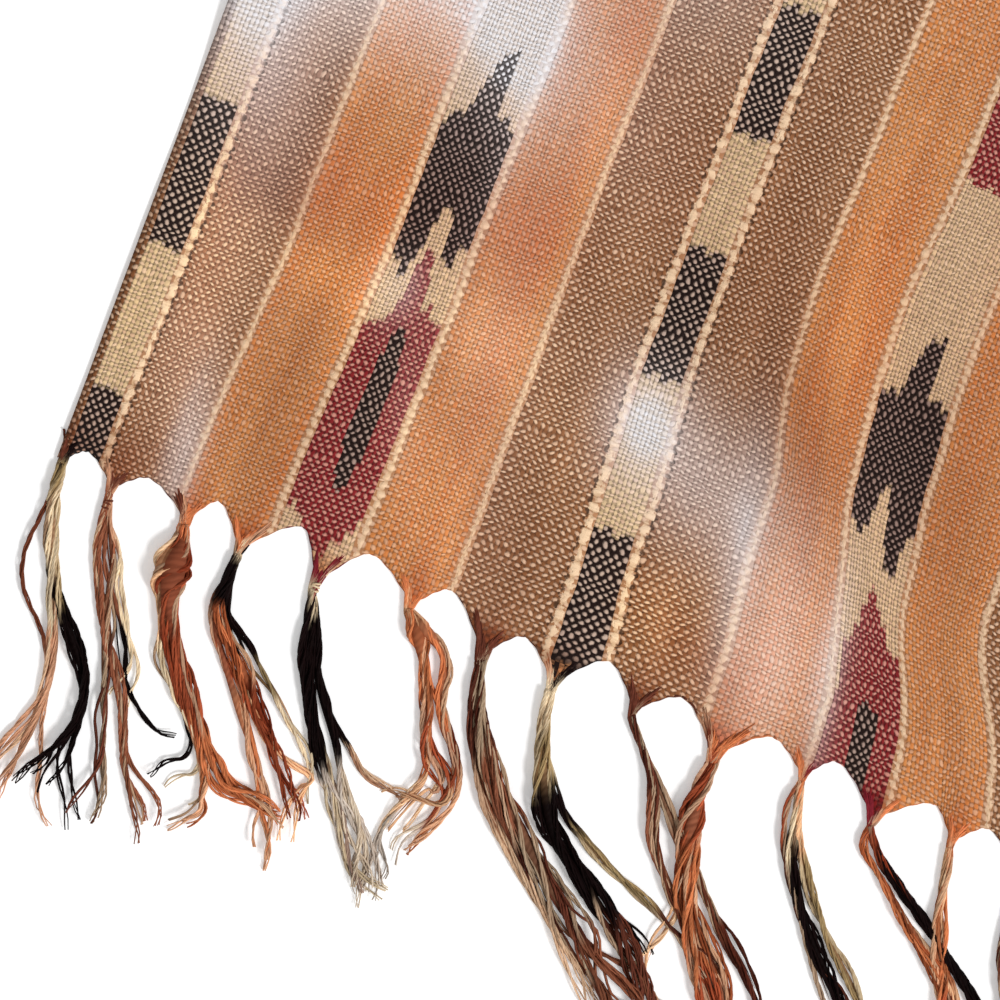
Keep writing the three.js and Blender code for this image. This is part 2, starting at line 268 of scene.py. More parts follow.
def drapedTassels(hem, first, last, count, phase):
    # Evenly spaced tassels that follow one drape with a slow sway, as rows like the table's.
    step = np.arange(count)
    beat = phase + step
    inner = (step > 0) & (step < count - 1)
    x = first + (last - first) * step / (count - 1) + inner * 1.2 * np.sin(4.1 * beat)
    y = hemY(hem, x) - tassels["drop"] - 2 * np.sin(2.3 * beat)
    bend, tip = tassels["bendBy"], tassels["tipBy"]
    bendX, bendY = x + bend[0] + 2 * np.sin(1.7 * beat), y - bend[1]
    tipX, tipY = x + tip[0] + 4 * np.sin(0.9 * beat), y - tip[1] - 3 * np.sin(3.7 * beat)
    return np.stack([x, y, bendX, bendY, tipX, tipY], 1)


def archTops(hem, given):
    # Tops of the arches between tassels: the table's, then each a little to one side.
    row = hem["row"]
    step = np.arange(len(row) - 1)
    x = (row[1:, 0] + row[:-1, 0]) / 2 + np.diff(row[:, 0]) * cloth["archSkew"] * np.sin(2.9 * step + 1)
    tops = np.stack([x, hemY(hem, x) + cloth["archRise"] + 0.8 * np.sin(1.9 * step)], 1)
    tops[: len(given)] = np.array(given).reshape(-1, 2)
    return tops


def gatherHems():
    # Rows of gathering points: the near hem's given ones and drapes for all the others.
    half, perHem = tassels["pointWidth"] / 2, tassels["perHem"]
    given = np.array(tassels["near"], float)
    last = cloth["width"] - half
    missing = perHem - len(given)
    first = given[-1, 0] + (last - given[-1, 0]) / missing
    draped = drapedTassels(nearHem, first, last, missing, 1)
    nearHem["row"] = np.concatenate([given, draped])
    ends = planOf(np.array([0, cloth["width"]]), np.full(2, cloth["length"]))[0]
    farHem["row"] = drapedTassels(farHem, ends[0] + half, ends[1] - half, perHem, 20)
    nearHem["tops"] = archTops(nearHem, tassels["arches"])
    farHem["tops"] = archTops(farHem, [])


gatherHems()


def hemProfile(away, top, knotY):
    # Height of the hem's edge from a gathering point (away 0) to the top of an arch (away 1):
    # a hyperbola, nearly straight on the flanks and round at the top.
    bend = cloth["archRound"]
    fall = (np.sqrt((1 - away) ** 2 + bend**2) - bend) / (math.sqrt(1 + bend**2) - bend)
    return top - (top - knotY) * fall


def footOf(hem, x, knotY):
    # How far down the woven point at a knot reaches.
    return blendOf(hemY(hem, x), knotY, cloth["footShare"])


def hemColumns(hem):
    # Columns of the cloth's grid at one hem: their u, and the place of each on the scalloped
    # edge, where the warp draws together and runs down to the gathering points.
    row, tops = hem["row"], hem["tops"]
    per = cloth["columnsPerTassel"]
    steps = np.arange((tassels["perHem"] - 1) * per + 1) / per
    marks = np.empty(2 * tassels["perHem"] - 1)
    marks[0::2], marks[1::2] = row[:, 0], tops[:, 0]
    natural = np.interp(2 * steps, np.arange(len(marks)), marks)
    natural[0], natural[-1] = planOf(np.array([0, cloth["width"]]), np.full(2, hem["v"]))[0]
    nearest = np.clip(np.round(steps).astype(int), 0, tassels["perHem"] - 1)
    side = steps - nearest
    arch = np.clip(np.where(side < 0, nearest - 1, nearest), 0, len(tops) - 1)
    away = np.abs(2 * side)
    edgeX = blendOf(row[nearest, 0], tops[arch, 0], away)
    edgeX[0], edgeX[-1] = natural[0], natural[-1]
    foot = footOf(hem, row[nearest, 0], row[nearest, 1])
    edgeY = hemProfile(away, tops[arch, 1], foot)
    return acrossOf(natural, hem["v"]), edgeX, edgeY, edgeY - hemY(hem, edgeX)


# ---- meshes

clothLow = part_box("cloth")[0]
waist = np.linspace(0, cloth["length"], 4001)
cornerX = clothLow.x - min(planOf(0 * waist, waist)[0].min(), 0) * mm
cornerY = clothLow.y - nearHem["row"][:, 1].min() * mm


def toFrame(points):
    # Millimetres from the cloth's corner to metres in the part's frame.
    return points * mm + np.array([cornerX, cornerY, 0])


def addMesh(name, points, faceSets, uv, tints, dye=None):
    # faceSets holds arrays of faces with as many corners each; uv is given for each corner
    # of each face in turn, tints and dye for each point, a tint with or without alpha.
    mesh = bpy.data.meshes.new(name)
    sizes = np.concatenate([np.full(len(faces), faces.shape[1]) for faces in faceSets])
    loops = np.concatenate([faces.ravel() for faces in faceSets])
    mesh.vertices.add(len(points))
    mesh.vertices.foreach_set("co", toFrame(points).ravel())
    mesh.loops.add(len(loops))
    mesh.loops.foreach_set("vertex_index", loops.astype(np.int32))
    mesh.polygons.add(len(sizes))
    starts = np.concatenate([[0], np.cumsum(sizes)[:-1]])
    mesh.polygons.foreach_set("loop_start", starts.astype(np.int32))
    mesh.update(calc_edges=True)
    mesh.polygons.foreach_set("use_smooth", np.ones(len(sizes), bool))
    mesh.uv_layers.new(name="weave").data.foreach_set("uv", uv.astype(np.float32).ravel())
    if dye is not None:
        made = mesh.attributes.new("dye", "FLOAT", "POINT")
        made.data.foreach_set("value", dye.astype(np.float32))
    made = mesh.attributes.new("tint", "FLOAT_COLOR", "POINT")
    full = np.ones((len(tints), 4))
    full[:, : tints.shape[1]] = tints
    made.data.foreach_set("color", full.astype(np.float32).ravel())
    piece = bpy.data.objects.new(name, mesh)
    bpy.context.scene.collection.objects.link(piece)
    return piece


# Knots of the tie-dyeing: along the cloth against along the dye's own count, in which a
# block is dark from 0 to 30 of every 60, and a flame takes 150.
blockCounts = [0, 30, 60, 90, 120, 150]
flameCounts = [0, 46, 65, 95, 109, 150]
tieKnots = {
    "block": [
        ([-16, 15, 47, 80, 112, 144], blockCounts),
        ([-5, 24.5, 58, 87, 112, 141], blockCounts),
        ([-22, 9, 38, 70, 99, 129], blockCounts),
        ([-9, 20, 51, 82, 110, 141], blockCounts),
        ([-17, 13, 45, 74, 104, 137], blockCounts),
    ],
    "flame": [
        ([-4, 46, 65, 95, 109, 146], flameCounts),
        ([-8, 10, 13, 22, 25, 36, 44, 54, 74, 90, 122], [12, 30, 36.5, 37, 41, 56, 61, 75, 92, 110, 150]),
        ([-18, 30, 50, 80, 95, 134], flameCounts),
        ([-40, 12, 31, 60, 74, 110], flameCounts),
    ],
}
tiePeriods = {"block": 30, "flame": 150}
tieUneven = 0.09  # how much the later knots stray from their period


def tiedStripes():
    # Middle of each tied stripe, with its kind and its number within the kind.
    tied, start = [], 0.0
    for kind, ends, pitch in stripes:
        if kind in tieKnots:
            tied.append((start + ends * pitch / 2, kind, sum(other[1] == kind for other in tied)))
        start += ends * pitch
    return [(middle * cloth["width"] / start, kind, number) for middle, kind, number in tied]


def dyeCount(u, v):
    # The dye's own count along the cloth, for the tied stripe that is nearest to u: through
    # the table's knots, then on through knots that are tied at an uneven pace.
    count, tied = np.zeros_like(v), tiedStripes()
    nearest = np.abs(u[..., None] - np.array([middle for middle, kind, number in tied])).argmin(-1)
    for place, (middle, kind, number) in enumerate(tied):
        along, counts = (list(part) for part in tieKnots[kind][number])
        period = tiePeriods[kind]
        pace = np.random.default_rng(100 + place)
        while along[-1] < cloth["length"] + period:
            along.append(along[-1] + period * (1 + tieUneven * pace.standard_normal()))
            counts.append(counts[-1] + period)
        here = nearest == place
        count[here] = np.interp(v[here], along, counts)
    return count


# Patches of painted light and shade on the cloth, with warm tints: x, y, turn, reach and
# width, then pale painted sheen, dusk painted shade, warm tint and glow painted light.
paintedLightPatches = [
    (4, 106, 20, 30, 12, 1.0, 0, 0, 0), (20, 112, 70, 16, 13, 0.55, 0, 0, 0.1),
    (44, 124, 60, 34, 18, 0.95, 0, 0, 0), (59, 119, 10, 17, 8, 1.0, 0, 0, 0.2),
    (20, 84, 60, 20, 12, 0, 0.14, 0.25, 0), (80, 148, 60, 28, 16, 0.4, 0, 0, 0),
    (66, 100, 0, 26, 3, 0.25, 0, 0, 0), (82, 122, 60, 10, 7, 0, 0.1, 0.3, 0),
    (130, 40, 60, 22, 12, 0.55, 0, 0, 0), (113, 47, 10, 11, 7.5, 0.85, 0, 0, 0),
    (24.5, 8, 5, 16, 3.4, 0.6, 0, 0, 0), (156, 10, 10, 22, 9, 0.5, 0, 0, 0.5),
    (142, 27, 12, 22, 4, 0.45, 0, 0, 0), (167, 12, 10, 18, 3, 0.6, 0, 0, 0),
    (17, 54, 20, 18, 10, 0.1, 0, 0, 1.0), (17, 26, 10, 16, 7, 0.15, 0, 0, 0.7),
    (54, 56, 0, 7, 5, 0.4, 0, 0, 0.5), (48, 60, 0, 22, 4, 0, 0, 0.1, 0.8),
    (40, 53, 80, 10, 6, 0, 0, 0.1, 0.8), (76, 52, 70, 12, 9, 0.1, 0, 0, 0.8),
    (77, 60, 10, 60, 10, 0.08, 0, 0.15, 0), (78, 14, 20, 18, 9, 0, 0, 0.1, 0.5),
    (96, 40, 30, 24, 9, 0, 0, 0, 0.3), (130, 10, 30, 11, 9, 0, 0, 0, 0.9),
    (4, 32, 10, 14, 5, 0, 0, 0, 0.3), (40, 24, 10, 26, 9, 0, 0.55, 0.1, 0),
    (20, 66, 80, 12, 6, 0, 0.5, 0.2, 0), (147, 52, 24, 24, 9, 0, 0.7, 0.2, 0),
    (180, 46, 20, 30, 9, 0, 0.6, 0.1, 0), (142, 4, 60, 16, 7, 0, 0.4, 0.4, 0),
    (100, 100, 40, 26, 14, 0, 0.05, 0.2, 0), (130, 82, 10, 34, 10, 0, 0.4, 0.1, 0),
    (96, 10, 10, 20, 9, 0, 0.3, 0.1, 0), (14, 4, 80, 12, 7, 0, 0.5, 0.2, 0),
    (40, 70, 80, 14, 10, 0, 0.1, 0.5, 0), (76, 76, 70, 14, 11, 0, 0.15, 0.5, 0),
    (150, 84, 10, 26, 8, 0, 0.1, 0.4, 0.2), (66, 30, 20, 18, 4, 0.1, 0, 0, 0.5),
    (26, 64, 0, 10, 5, 0, 0.3, 0.1, 0), (16, 52, 5, 44, 6, 0, 0, 0.3, 0.1), (3, 1, 80, 6, 3, 0, 1, 0, 0),
    (116, -6.5, 82, 7, 2, 0, 1, 0, 0), (40, 104, 0, 18, 8, 0, 0, 0, 0.4),
    (146, 84, 8, 22, 8, 0, 0, 0, 0.35), (156, 20, 8, 16, 8, 0, 0, 0.1, 0.5),
    (84, 100, 5, 16, 5, 0, 0, 0.2, 0.4),
]
# Further on, patches of painted sheen, shade, warm tint and light are drawn by chance: how
# many, past which x or y, and their tones.
chanceLightPatches = {
    "count": 170,
    "pastX": 190,
    "pastY": 160,
    "tones": [(0.5, 0, 0, 0), (0, 0.5, 0, 0), (0, 0.1, 0.5, 0), (0.2, 0, 0, 0.7)],
}
# Where the warp is crowded and gathered it gets painted shade with a warm tint: height over
# the point, then as above.
gatheredShade = (3, 0, 6, 3.2, 0, 0.75, 0.6, 0)

for _ in range(chanceLightPatches["count"]):
    spotX, spotY = chance.uniform(0, cloth["width"]), chance.uniform(0, cloth["length"])
    if spotX > chanceLightPatches["pastX"] or spotY > chanceLightPatches["pastY"]:
        tone = chanceLightPatches["tones"][chance.integers(len(chanceLightPatches["tones"]))]
        shape = [chance.uniform(-80, 80), chance.uniform(16, 44), chance.uniform(8, 20)]
        paintedLightPatches.append((spotX, spotY, *shape, *(part * chance.uniform(0.6, 1.2) for part in tone)))
for hem in (nearHem, farHem):
    rise, *look = gatheredShade
    paintedLightPatches += [(x, fromHem(hem, y + rise), *look) for x, y in hem["row"][:, :2]]


def paintedLightAt(x, y):
    # Sums of soft ovals, kept under 1: how much pale painted sheen, painted shade, warm tint and
    # painted light a place has.
    total = np.zeros((*x.shape, 4))
    for midX, midY, turn, reach, width, *tone in paintedLightPatches:
        along, across = turned(x - midX, y - midY, turn)
        oval = np.exp(-((across / width) ** 2) - (along / reach) ** 2)
        total += oval[..., None] * np.array(tone)
    return np.minimum(total, 1)


def drawRipple():
    # Phase, pace, turn and size of one small wave.
    phase, wave = chance.uniform(0, 2 * np.pi), chance.uniform(17, 60)
    return phase, 2 * np.pi / wave, chance.uniform(-1.2, 1.2), chance.uniform(0.4, 1)


ripples = [drawRipple() for _ in range(14)]


def rippleAt(x, y):
    # Small waves of the cloth: sines of uneven length and turn, added up.
    height = 0 * x
    for phase, pace, turn, size in ripples:
        height = height + size * np.sin(phase + pace * (x * math.cos(turn) + y * math.sin(turn)))
    return cloth["ripple"] * height / 3


def puckerAt(hem, x, y):
    # Ridges that run up from each gathering point and die away in the cloth.
    row = hem["row"]
    nearest = np.abs(x[..., None] - row[:, 0]).argmin(-1)
    away = np.maximum(fromHem(hem, y) - row[nearest, 1], 0) / cloth["puckerReach"]
    narrow, widen = cloth["puckerWidth"]
    across = (x - row[nearest, 0]) / (narrow + widen * away)
    return cloth["pucker"] * np.exp(-(across**2) - (away - 0.5) ** 2 * 1.6)


def clothGrid():
    # Grid of the cloth as arrays over its rows and columns: x, y, u and v. Its hem rows run
    # from the plan's own lines to the scalloped edges.
    nearU, nearX, nearY, nearV = hemColumns(nearHem)
    farU, farX, farY, farV = hemColumns(farHem)
    top, length = cloth["hemTop"], cloth["length"]
    share = np.linspace(0, 1, cloth["bodyRows"])
    body = top + (length - 2 * top) * (share - cloth["rowCrowding"] * np.sin(2 * np.pi * share))
    v = np.repeat(body[:, None], len(nearU), 1)
    u = blendOf(nearU, farU, smooth(v / length))
    x, y = planOf(u, v)
    x = x + pulledFrom(u, v)
    down = np.linspace(1, 0, cloth["hemRows"], endpoint=False)[:, None]
    nearEdge = [blendOf(x[0], nearX, down), blendOf(y[0], nearY, down)]
    nearEdge += [nearU + 0 * down, blendOf(top, nearV, down)]
    up = down[::-1]
    farEdge = [blendOf(x[-1], farX, up), blendOf(y[-1], length - farY, up)]
    farEdge += [farU + 0 * up, blendOf(length - top, length - farV, up)]
    return [np.concatenate(parts) for parts in zip(nearEdge, [x, y, u, v], farEdge)]


def buildCloth():
    # Two copies of the grid, the lower one laid on its folds and the upper one a wall above
    # it with the fine relief, joined by a skirt round the rim.
    x, y, u, v = clothGrid()
    rows, columns = x.shape
    count = rows * columns
    under = liftAt(x, y)
    fine = rippleAt(x, y) + puckerAt(nearHem, x, y) + puckerAt(farHem, x, y)
    over = under + cloth["wall"] + np.maximum(fine, cloth["lowestFine"])
    points = np.concatenate([np.stack([x, y, z], -1).reshape(-1, 3) for z in (under, over)])
    index = np.arange(count).reshape(rows, columns)
    low, right, across, up = index[:-1, :-1], index[:-1, 1:], index[1:, 1:], index[1:, :-1]
    faces = np.stack([low, right, across, up], -1).reshape(-1, 4)
    rim = np.concatenate([index[0], index[1:, -1], index[-1, -2::-1], index[-2:0:-1, 0]])
    following = np.roll(rim, -1)
    skirt = np.stack([rim, following, following + count, rim + count], -1)
    allFaces = np.concatenate([faces[:, ::-1], faces + count, skirt])
    uv = np.tile(np.stack([endAt(u), v / cloth["pickPitch"]], -1).reshape(-1, 2), (2, 1))
    # The painted sheen, shade, warm tint and light go into the cloth's tint attribute.
    paintedLight = np.tile(paintedLightAt(x, y).reshape(-1, 4), (2, 1))
    dye = np.tile(dyeCount(u, v).ravel(), 2)
    return addMesh("wovenCloth", points, [allFaces], uv[allFaces.ravel()], paintedLight, dye)


wovenCloth = buildCloth()
print("cloth:", len(wovenCloth.data.polygons), "faces")


# ---- yarn

dyes = {
    "black": linear(22, 8, 8),
    "brown": linear(152, 92, 66),
    "umber": linear(112, 60, 44),
    "tan": linear(208, 156, 122),
    "rust": linear(176, 86, 54),
    "orange": linear(220, 132, 84),
    "peach": linear(244, 192, 146),
    "cream": linear(244, 222, 184),
    "olive": linear(164, 140, 98),
    "burgundy": linear(128, 36, 46),
    "grey": linear(220, 206, 190),
}


def runAlong(paths):
    # Distance from its start at each point of a path, or of several at once.
    return np.linalg.norm(np.diff(paths, axis=-2, prepend=paths[..., :1, :]), axis=-1).cumsum(-1)


def tubes(paths, radii, sides):
    # Round tubes along many paths at once: centre + radius * (cos * side + sin * lift),
    # where side is level and square to the path. Closed by a face at each end.
    count, steps = radii.shape
    along = np.gradient(paths, axis=1)
    along /= np.linalg.norm(along, axis=2, keepdims=True)
    side = np.cross(along, np.array([0.0, 0.0, 1.0]))
    side /= np.maximum(np.linalg.norm(side, axis=2, keepdims=True), 1e-6)
    lift = np.cross(side, along)
    angle = 2 * np.pi * np.arange(sides)[:, None] / sides
    ring = np.cos(angle) * side[:, :, None] + np.sin(angle) * lift[:, :, None]
    points = (paths[:, :, None] + radii[:, :, None, None] * ring).reshape(-1, 3)
    index = np.arange(count * steps * sides).reshape(count, steps, sides)
    here, there = index[:, :-1], index[:, 1:]
    quads = np.stack([here, there, np.roll(there, -1, 2), np.roll(here, -1, 2)], -1)
    around = np.broadcast_to(np.arange(sides), here.shape) / sides
    run = np.broadcast_to(runAlong(paths)[..., None], index.shape)
    corners = [(0, run[:, :-1]), (0, run[:, 1:]), (1, run[:, 1:]), (1, run[:, :-1])]
    uv = np.stack([np.stack([around + step / sides, far], -1) for step, far in corners], 3)
    caps = np.concatenate([index[:, 0], index[:, -1, ::-1]])
    capUv = np.zeros((len(caps) * sides, 2))
    return points, [quads.reshape(-1, 4), caps], np.concatenate([uv.reshape(-1, 2), capUv])


def easedRoute(places, steps):
    # A route through given points: evenly stepped, then rounded by local averages.
    places = np.array(places, float)
    run = runAlong(places)
    even = np.linspace(0, run[-1], steps)
    route = np.stack([np.interp(even, run, places[:, axis]) for axis in range(2)], 1)
    for _ in range(2):
        padded = np.pad(route, ((2, 2), (0, 0)), mode="reflect", reflect_type="odd")
        route = sum(padded[k : k + steps] for k in range(5)) / 5
    return route


yarn = {
    "nearSteps": 40,
    "bunSteps": 84,
    "farSteps": 24,
    "nearSides": 4,
    "farSides": 3,
    "fanSteps": 8,
    "fanShare": 0.55,  # how much of the way to an arch's top the loose warp starts
    "fanInside": (0.4, 3.8),  # how far inside the edge it comes out of the weave
    "fanTints": (0.85, 1.5),
    "strands": 20,  # in a tassel that no table gives
    "lockGap": 5.0,
    "perStrand": 1.75,  # yarns drawn for each strand the tables count
    "perCord": 3.2,  # yarns that have twisted into one cord
    "packing": (0.25, 1.0),  # the cords' distances from a lock's middle, squared
    "spin": (1, 0.2),  # usual pace of a cord round the lock, and how much it varies
    "wind": (1, 0.15),  # the same for a yarn round its cord
    "waves": (2, 6),
    "curls": (2, 9),
    "bends": (3, 7),
    "partsFrom": (0.5, 0.75),  # share of its length at which a lock parts
    "parts": 0.4,
    "flatness": 0.6,
    "coreSize": 0.55,
    "coreSides": 7,
    "coreShade": np.array([0.6, 0.46, 0.4]),
    "coreKept": 0.78,  # share of a lock's length that has a core
    "pickRadius": 0.3,
    "pickSides": 5,
    "pickSteps": 48,
    "pickShade": 0.75,
    "cordPitch": 13.0,
    "cordRadius": 0.34,
    "radius": 0.27,
    "thickness": (0.7, 1.2),  # each yarn's radius as a share of the usual one
    "floor": 0.1,
    "neck": 1.2,  # the locks start so far below the gathering point
    "twistPitch": 62.0,
    "fray": 0.15,
    "tipShare": 0.86,  # from here on the cords open and thin
    "wander": 0.6,
    "curl": 1.1,
    "uneven": 1.8,  # how much longer or shorter than the lock a cord is
    "clumps": 3,  # the tips of a lock part into so many points
    "clumpSpread": 2.4,
    "clumpCurl": 2.0,
    "dyesFrom": 0.12,  # share of a yarn's length that keeps its stripe's dye
    "dyeStray": 0.025,
    "dyeBlend": 0.05,
    "cordShades": (0.6, 1.25),
    "yarnShades": (0.85, 1.18),
    "lighter": 0.3,  # share of cords that are bleached
    "bleach": 0.42,
    "darker": 0.16,  # share of cords that stay dark
    "darkness": np.array([0.4, 0.52, 0.56]),
    "tieRadius": 0.24,
    "tieTurns": 2.5,
    "tieSteps": 40,
    "tieChance": 0.3,
}
# Where a tassel's locks swell into a loose knot: distance from its neck, reach, size, turns.
buns = {3: (9.5, 6, 2.6, 0.42), 6: (5, 4, 1.2, 0.3), 10: (9, 8, 0.7, 0.2), 1: (5, 4, 0.5, 0.2)}
noBun = (5, 5, 0, 0)
bigBun = 2  # a knot larger than this takes more steps

